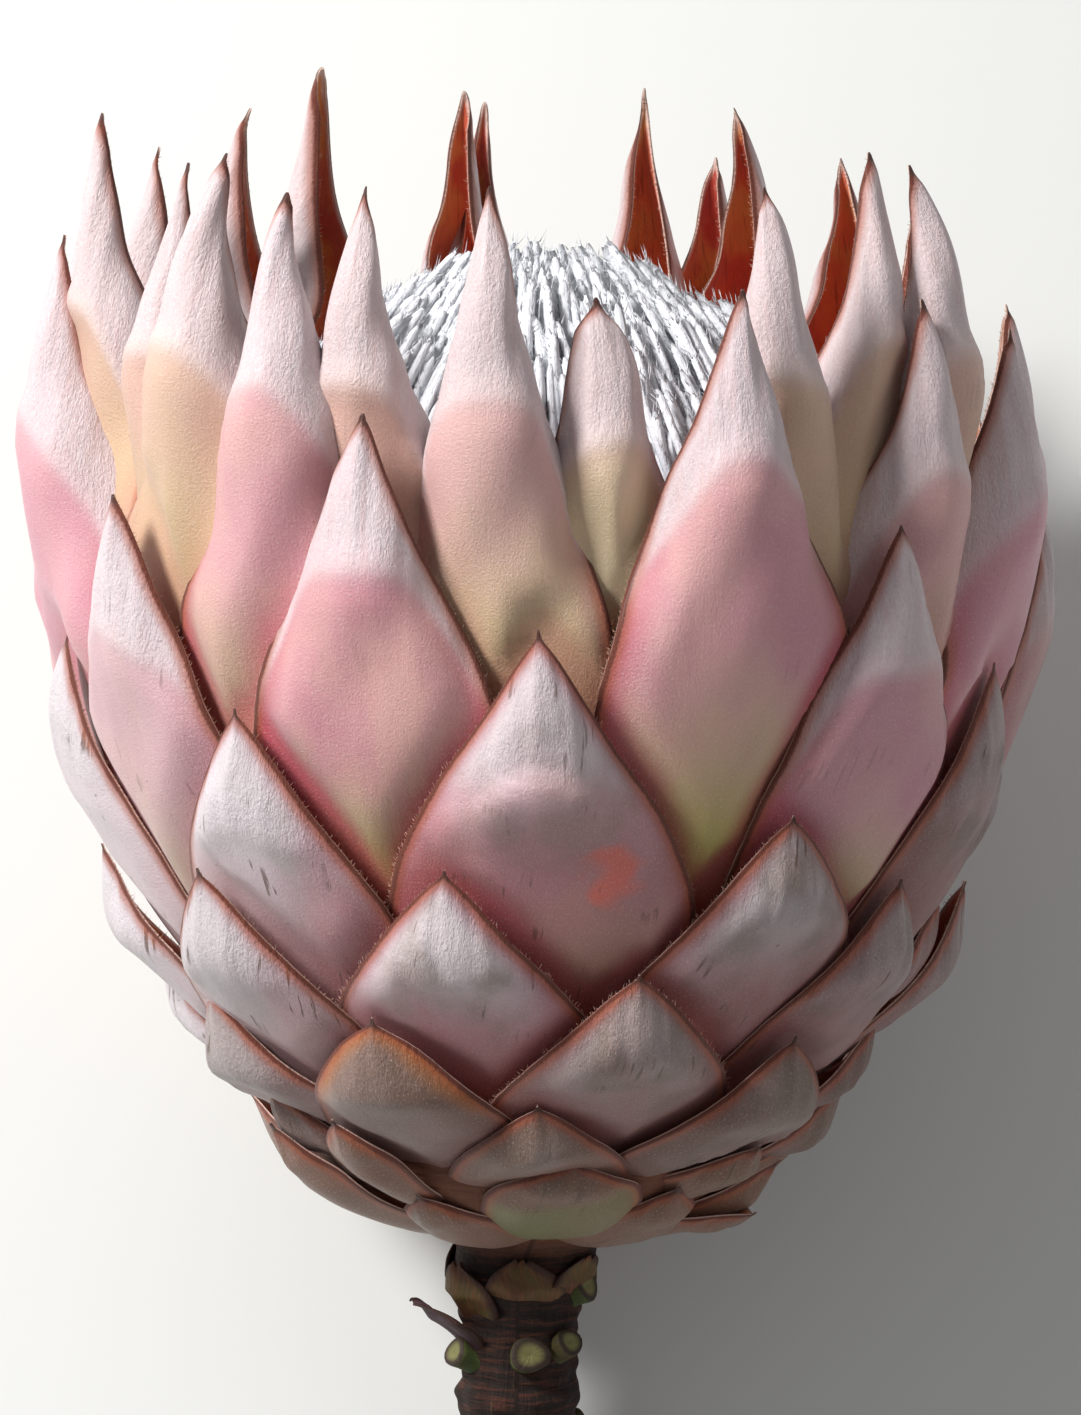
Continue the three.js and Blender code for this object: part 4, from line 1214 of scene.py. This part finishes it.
class ProteaFlorets(bpy.types.Operator):
    """Build the dome of florets with their fine hairs"""

    bl_idname = "protea.florets"
    bl_label = "Florets"

    def execute(self, context):
        florets = context.scene.protea_florets
        material = floret_silk(florets)
        self.core(material)
        root, tip, seed = floret_axes(florets)
        self.rods(florets, material, root, tip, seed)
        self.hairs(florets, material, root, tip, seed)
        return {"FINISHED"}

    def core(self, material):
        """The dense core: the dome's profile drawn in and turned about the axis."""
        line = np.concatenate([DOME, CORE])
        steps = np.concatenate([[0], np.cumsum(np.hypot(*np.diff(line, axis=0).T))])
        at = np.linspace(0, steps[-1], 60)[:, None]
        turn = np.linspace(0, 2 * np.pi, 72, endpoint=False)[None, :]
        radius = np.maximum(np.interp(at, steps, line[:, 0]) - CORE_DRAWN_IN[0], 0.01)
        height = np.interp(at, steps, line[:, 1]) - CORE_DRAWN_IN[1]
        make_tubes("floret_core", placed(turn, radius, height)[None], ["florets"], material,
                   {"floret": triples(CORE_DEEP, turn * 20, at)})

    def rods(self, florets, material, root, tip, seed):
        """Each floret is a four-sided rod, bent a little, with its own radius at shares of its length."""
        shares, sizes = FLORET_RINGS.T
        length = np.linalg.norm(tip - root, axis=1)
        axis = unit(tip - root)
        first = unit(np.cross(axis, [[0.3, 0.2, 0.93]]))
        second = np.cross(axis, first)
        turns = np.linspace(0, 2 * np.pi, FLORET_SIDES, endpoint=False)[:, None]
        turns = turns + 6.28 * chance(seed)[:, None, None, None]
        radii = florets.radius / MM * sizes * (0.8 + 0.45 * chance(seed + 3))[:, None]
        bow = 1.6 * np.sin(np.pi * shares) * (chance(seed + 8) - 0.5)[:, None]
        wave = 0.5 * np.sin(1.8 * np.pi * shares) * (chance(seed + 6) - 0.5)[:, None]
        middle = root[:, None] + shares[:, None] * (tip - root)[:, None]
        middle = middle + bow[..., None] * first[:, None] + wave[..., None] * second[:, None]
        out = np.cos(turns) * first[:, None, None] + np.sin(turns) * second[:, None, None]
        down = (1 - shares) * length[:, None]
        facts = {"floret": triples(down[..., None], np.arange(FLORET_SIDES) * 1.3, seed[:, None, None])}
        make_tubes("floret_rods", middle[:, :, None] + radii[..., None, None] * out, ["florets"],
                   material, facts)

    def hairs(self, florets, material, root, tip, seed):
        """Fine hairs near the end of each floret, out of its side and along it."""
        each = florets.hairs
        if not each:
            return
        n = np.repeat(np.arange(len(root)), each)
        seeds = n * 3.7 + np.tile(np.arange(each), len(root)) * 1.31
        axis = unit((tip - root)[n])
        share = 0.55 + 0.45 * np.sqrt(chance(seeds))
        stray = np.stack([chance(seeds + 50 * k) - 0.5 for k in (1, 2, 3)], -1)
        stray = unit(stray - axis * np.einsum("ij,ij->i", stray, axis)[:, None])
        base = root[n] + share[:, None] * (tip - root)[n] + 0.8 * florets.radius / MM * stray
        points, triangles, end = spikes(base, unit(axis + 0.55 * stray), 1.0 + 1.5 * chance(seeds + 9),
                                        FLORET_HAIR_RADIUS, 6.28 * chance(seeds + 2))
        facts = {"floret": triples((1 - end) * 1.5, end * 3, np.repeat(seed[n], 4))}
        make_piece("floret_hairs", points, triangles, ["florets"], material, facts)


def floret_axes(florets):
    """Root and tip of every floret, and its seed.

    They stand on a golden spiral over the dome, evenly by area. Each rises along the dome's own slope and a
    little out of it, never less than the least rise, and stands upright in the middle. Its tip stands a few
    millimetres above the core, further in tufts, and its root swings to the side.
    """
    slant = np.hypot(*np.diff(DOME, axis=0).T)
    areas = np.concatenate([[0], np.cumsum(slant * (DOME[1:, 0] + DOME[:-1, 0]))])
    n = np.arange(florets.count)
    area = (n + 0.5) / florets.count * areas[-1]
    step = 0.03 * areas[-1]
    radius, height = (np.interp(area, areas, DOME[:, k]) for k in (0, 1))
    up_r, up_h = (np.interp(area - step, areas, DOME[:, k]) - np.interp(area + step, areas, DOME[:, k])
                  for k in (0, 1))
    steep = np.arctan2(up_h, -up_r)
    azimuth = GOLDEN_ANGLE * n + 0.09 * (chance(n + 40) - 0.5)
    pitch = np.clip(steep + np.radians(9), florets.rise, np.radians(86))
    rise = np.pi / 2 + (pitch - np.pi / 2) * smooth(radius / 9) + 0.1 * (chance(n + 70) - 0.5)
    tuft = np.sin(5 * azimuth + 0.21 * height) + np.sin(0.45 * radius - 3 * azimuth + 1)
    stand = 4 * (0.3 + 0.8 * chance(n + 500)) + 0.8 * tuft * smooth(radius / 6)
    tip = placed(azimuth, radius + stand * np.sin(steep), height + stand * np.cos(steep))
    swing = azimuth + 0.3 * (chance(n + 90) - 0.5) + 0.16 * np.sin(4 * azimuth + 0.3 * height + 2)
    back = placed(swing, -np.cos(rise), np.sin(rise)) * (florets.length / MM)
    return tip - back, tip, n * 0.37


class ProteaStem(bpy.types.Operator):
    """Build the stem with its head, its neck scales, withered leaf and leaf stalks"""

    bl_idname = "protea.stem"
    bl_label = "Stem"

    def execute(self, context):
        stem = context.scene.protea_stem
        self.trunk(stem, *head_of(context))
        self.neck(stem)
        self.stalks(stem)
        return {"FINISHED"}

    def trunk(self, stem, bracts, shells, blades):
        """Stem and head as one turned profile of radius by height.

        Rings are bell curves of the height on the stem's radius, the collar a smooth step, and the bark's
        relief sines of the height and the turn. The head's flank lies just inside the foot scales, and
        further up just inside the bracts' feet.
        """
        length, radius, collar = stem.length / MM, stem.radius / MM, stem.collar / MM
        widening, bark_top, collar_top = COLLAR_HEIGHTS
        height = np.linspace(-length, bark_top, 130)
        swell = sum(size * np.exp(-((height - at) / wide) ** 2) for at, size, wide in STEM_RINGS)
        side = radius + swell + (collar - radius) * smooth((height - widening) / 5)
        arcs = np.linspace(12, ROOT_ARC + ROOT_STEP * max(blade.depth for blade in blades) + 1, 24)
        seat = (arcs - ROOT_ARC) / ROOT_STEP + bracts.blade / MM + ROOT_SEAT
        under_scales = 0.4 + 0.002 * (arcs - 12) ** 2 + 0.02 * np.maximum(arcs - 28, 0) ** 2
        flank_r, flank_h = shells.point(arcs, np.minimum(seat - shells.tip_depth(arcs), under_scales))
        cut = np.linspace(0.02, 1, CUT_ROWS)
        radii = np.concatenate([(radius - 0.4) * cut, side, [collar], flank_r, [flank_r[-1] - 1, 0.02]])
        heights = np.concatenate([0.25 * (1 - cut ** 2) - length, height, [collar_top],
                                  np.minimum(flank_h, HEAD_TOP), [HEAD_TOP] * 2])
        row = np.arange(len(radii))
        on_cut = row < CUT_ROWS
        on_bark = (row >= CUT_ROWS) & (row < CUT_ROWS + len(height))
        turns, tall = np.meshgrid(np.linspace(0, 2 * np.pi, STEM_COLUMNS, endpoint=False), heights)
        relief = on_bark[:, None] * (
            0.16 * np.sin(7 * turns + 0.5 * tall)
            + 0.12 * np.sin(11 * turns - 0.21 * tall)
            + 0.13 * np.sin(2.4 * tall + 1.3 * np.sin(3 * turns)))
        along = np.where(on_cut, radii * 1.5, heights)
        facts = {"stem": triples(along[:, None], turns * radius, 1.0 * on_cut[:, None])}
        rings = placed(turns, radii[:, None] + relief, tall)[None]
        make_tubes("stem_bark", set_aside(rings), ["stem"], bark(stem), facts)

    def neck(self, stem):
        """Papery scales round the neck.

        Up a scale its half width falls with the square of the way up, and its radius steps out from inside
        the stem to the collar and on by its flare, with a ripple across.
        """
        stem_radius, collar = stem.radius / MM, stem.collar / MM
        rows, columns = NECK_GRID
        up = np.linspace(1, 0, rows)[:, None]
        side = np.linspace(-1, 1, columns)[None, :]
        thick = 0.3 + 0.4 * (1 - up)
        sheets = []
        for n, (azimuth, height, width, length, flare) in enumerate(NECK_SCALES):
            half = width / 2 * (1 - 0.85 * up ** 2.2)
            radius = stem_radius - 1.2 + (collar - stem_radius + 1.4 + flare * up) * np.minimum(1, 2 * up)
            radius = radius + 0.25 * np.sin(3 * side + 5 * up + n) * up - 0.5 * side ** 2 * (1 - up)
            turn = np.radians(azimuth) + side * half / stem_radius + 0.1 * np.sin(4 * up + n)
            tall = height + length * up - 0.9 * flare * up ** 3 + 0.3 * np.sin(7 * side + n)
            facts = {"blade": triples(side * half, length * up, n), "edge": half * (1 - np.abs(side))}
            sheets.append((set_aside(placed(turn, radius + thick, tall)),
                           set_aside(placed(turn, radius, tall)), facts))
        make_sheets("neck_scales", sheets, ["stem"], papery_scale())

    def stalks(self, stem):
        """Leaf stalks: round stubs that lean out and up, wider at the base, with a slightly hollow cut."""
        shares, sizes, cuts = STALK_RINGS.T
        turn = np.linspace(0, 2 * np.pi, STALK_COLUMNS, endpoint=False)
        rings, facts = [], []
        for n, (azimuth, height, radius, length, rise) in enumerate(STALK_STUBS):
            up = np.radians(rise)
            out = placed(np.radians(azimuth), np.cos(up), np.sin(up))
            beside = placed(np.radians(azimuth) + np.pi / 2, 1.0, 0.0)
            over = np.cross(out, beside)
            reach = shares * (stem.radius / MM + length)
            middle = np.array([0, 0, height]) + reach[:, None] * out
            around = np.cos(turn)[:, None] * beside + 0.85 * np.sin(turn)[:, None] * over
            wobble = 1 + 0.06 * np.sin(3 * turn + n)
            rings.append(middle[:, None] + (radius * sizes)[:, None, None] * wobble[:, None] * around)
            facts.append(triples(reach[:, None], turn * radius, cuts[:, None]))
        make_tubes("leaf_stalks", set_aside(np.stack(rings)), ["stem"], stalk_skin(),
                   {"stem": np.stack(facts)})


def stand_at(thing, axes, place):
    """Turns an object to three axes, the columns of a matrix, and brings it to a place in metres."""
    matrix = Matrix.Identity(4)
    for row in range(3):
        matrix[row][:3] = axes[row]
        matrix[row][3] = place[row]
    thing.matrix_world = matrix


class ProteaStage(bpy.types.Operator):
    """Set the floor, the lights and the camera"""

    bl_idname = "protea.stage"
    bl_label = "Stage"

    def execute(self, context):
        stage = context.scene.protea_stage
        self.floor(stage)
        self.camera(context)
        self.lights(context, stage)
        self.sky(context, stage)
        return {"FINISHED"}

    def floor(self, stage):
        """One large square at the height of the table."""
        mesh = bpy.data.meshes.new("floor")
        mesh.from_pydata([(-4, -4, 0), (4, -4, 0), (4, 4, 0), (-4, 4, 0)], [], [(0, 1, 2, 3)])
        mesh.materials.append(pale_floor(stage))
        floor = bpy.data.objects.new("floor", mesh)
        bpy.context.scene.collection.objects.link(floor)

    def camera(self, context):
        """Looks at the flower's axis from its front, a little above square to it, with its tips up."""
        turn, shift = flower_frame()
        back = np.array([0, -np.cos(CAMERA_LIFT), np.sin(CAMERA_LIFT)])
        up = np.array([0, np.sin(CAMERA_LIFT), np.cos(CAMERA_LIFT)])
        data = bpy.data.cameras.new("camera")
        data.lens = CAMERA_LENS
        data.sensor_width = 36
        data.clip_end = 20
        camera = bpy.data.objects.new("camera", data)
        context.scene.collection.objects.link(camera)
        place = turn @ (np.array([0, 0, CAMERA_HEIGHT]) + CAMERA_DISTANCE * back) + shift
        stand_at(camera, turn @ np.stack([[1, 0, 0], up, back], -1), place * MM)
        context.scene.camera = camera

    def lights(self, context, stage):
        """A soft key from the upper left of the picture, and a wide weak fill from the right."""
        turn, shift = flower_frame()
        target = (turn @ np.array([0, 0, LIGHT_HEIGHT]) + shift) * MM
        for name, (direction, distance, size) in LIGHTS.items():
            back = unit(turn @ np.array(direction))
            side = unit(np.cross([0.0, 0.0, 1.0], back))
            data = bpy.data.lights.new(name, "AREA")
            data.size = size
            data.energy = getattr(stage, name)
            light = bpy.data.objects.new(name, data)
            context.scene.collection.objects.link(light)
            stand_at(light, np.stack([side, np.cross(back, side), back], -1), target + distance * back)

    def sky(self, context, stage):
        """Pale surroundings of one colour, and plain tones in the picture."""
        world = bpy.data.worlds.new("sky")
        world.use_nodes = True
        background = world.node_tree.nodes["Background"]
        background.inputs["Color"].default_value = (*SKY_COLOUR, 1.0)
        background.inputs["Strength"].default_value = stage.sky
        context.scene.world = world
        context.scene.view_settings.view_transform = "Standard"


class ProteaPanel(bpy.types.Panel):
    """Lists the flower's pieces and their settings"""

    bl_idname = "VIEW3D_PT_protea"
    bl_label = "King Protea"
    bl_space_type = "VIEW_3D"
    bl_region_type = "UI"
    bl_category = "King Protea"

    def draw(self, context):
        for operator, group in PANEL_ROWS:
            box = self.layout.box()
            box.operator(operator.bl_idname)
            if group:
                settings = getattr(context.scene, group)
                for name in settings.bl_rna.properties.keys():
                    if name not in ("rna_type", "name"):
                        box.prop(settings, name)


SETTINGS = {
    "protea_cup": CupSettings,
    "protea_bracts": BractSettings,
    "protea_florets": FloretSettings,
    "protea_stem": StemSettings,
    "protea_stage": StageSettings,
}
PANEL_ROWS = (
    (ProteaBracts, "protea_bracts"),
    (ProteaFringe, None),
    (ProteaFootScales, "protea_cup"),
    (ProteaFlorets, "protea_florets"),
    (ProteaStem, "protea_stem"),
    (ProteaStage, "protea_stage"),
)
CLASSES = (*SETTINGS.values(), *(operator for operator, _ in PANEL_ROWS), ProteaPanel)


def register():
    """Registers the settings, the operators and the panel."""
    for kind in CLASSES:
        bpy.utils.register_class(kind)
    for name, group in SETTINGS.items():
        setattr(bpy.types.Scene, name, PointerProperty(type=group))


def unregister():
    """Takes them away again."""
    for name in SETTINGS:
        delattr(bpy.types.Scene, name)
    for kind in reversed(CLASSES):
        bpy.utils.unregister_class(kind)


def main():
    """Builds every piece in order."""
    register()
    bpy.ops.protea.bracts()
    bpy.ops.protea.fringe()
    bpy.ops.protea.foot_scales()
    bpy.ops.protea.florets()
    bpy.ops.protea.stem()
    bpy.ops.protea.stage()


if __name__ == "__main__":
    main()
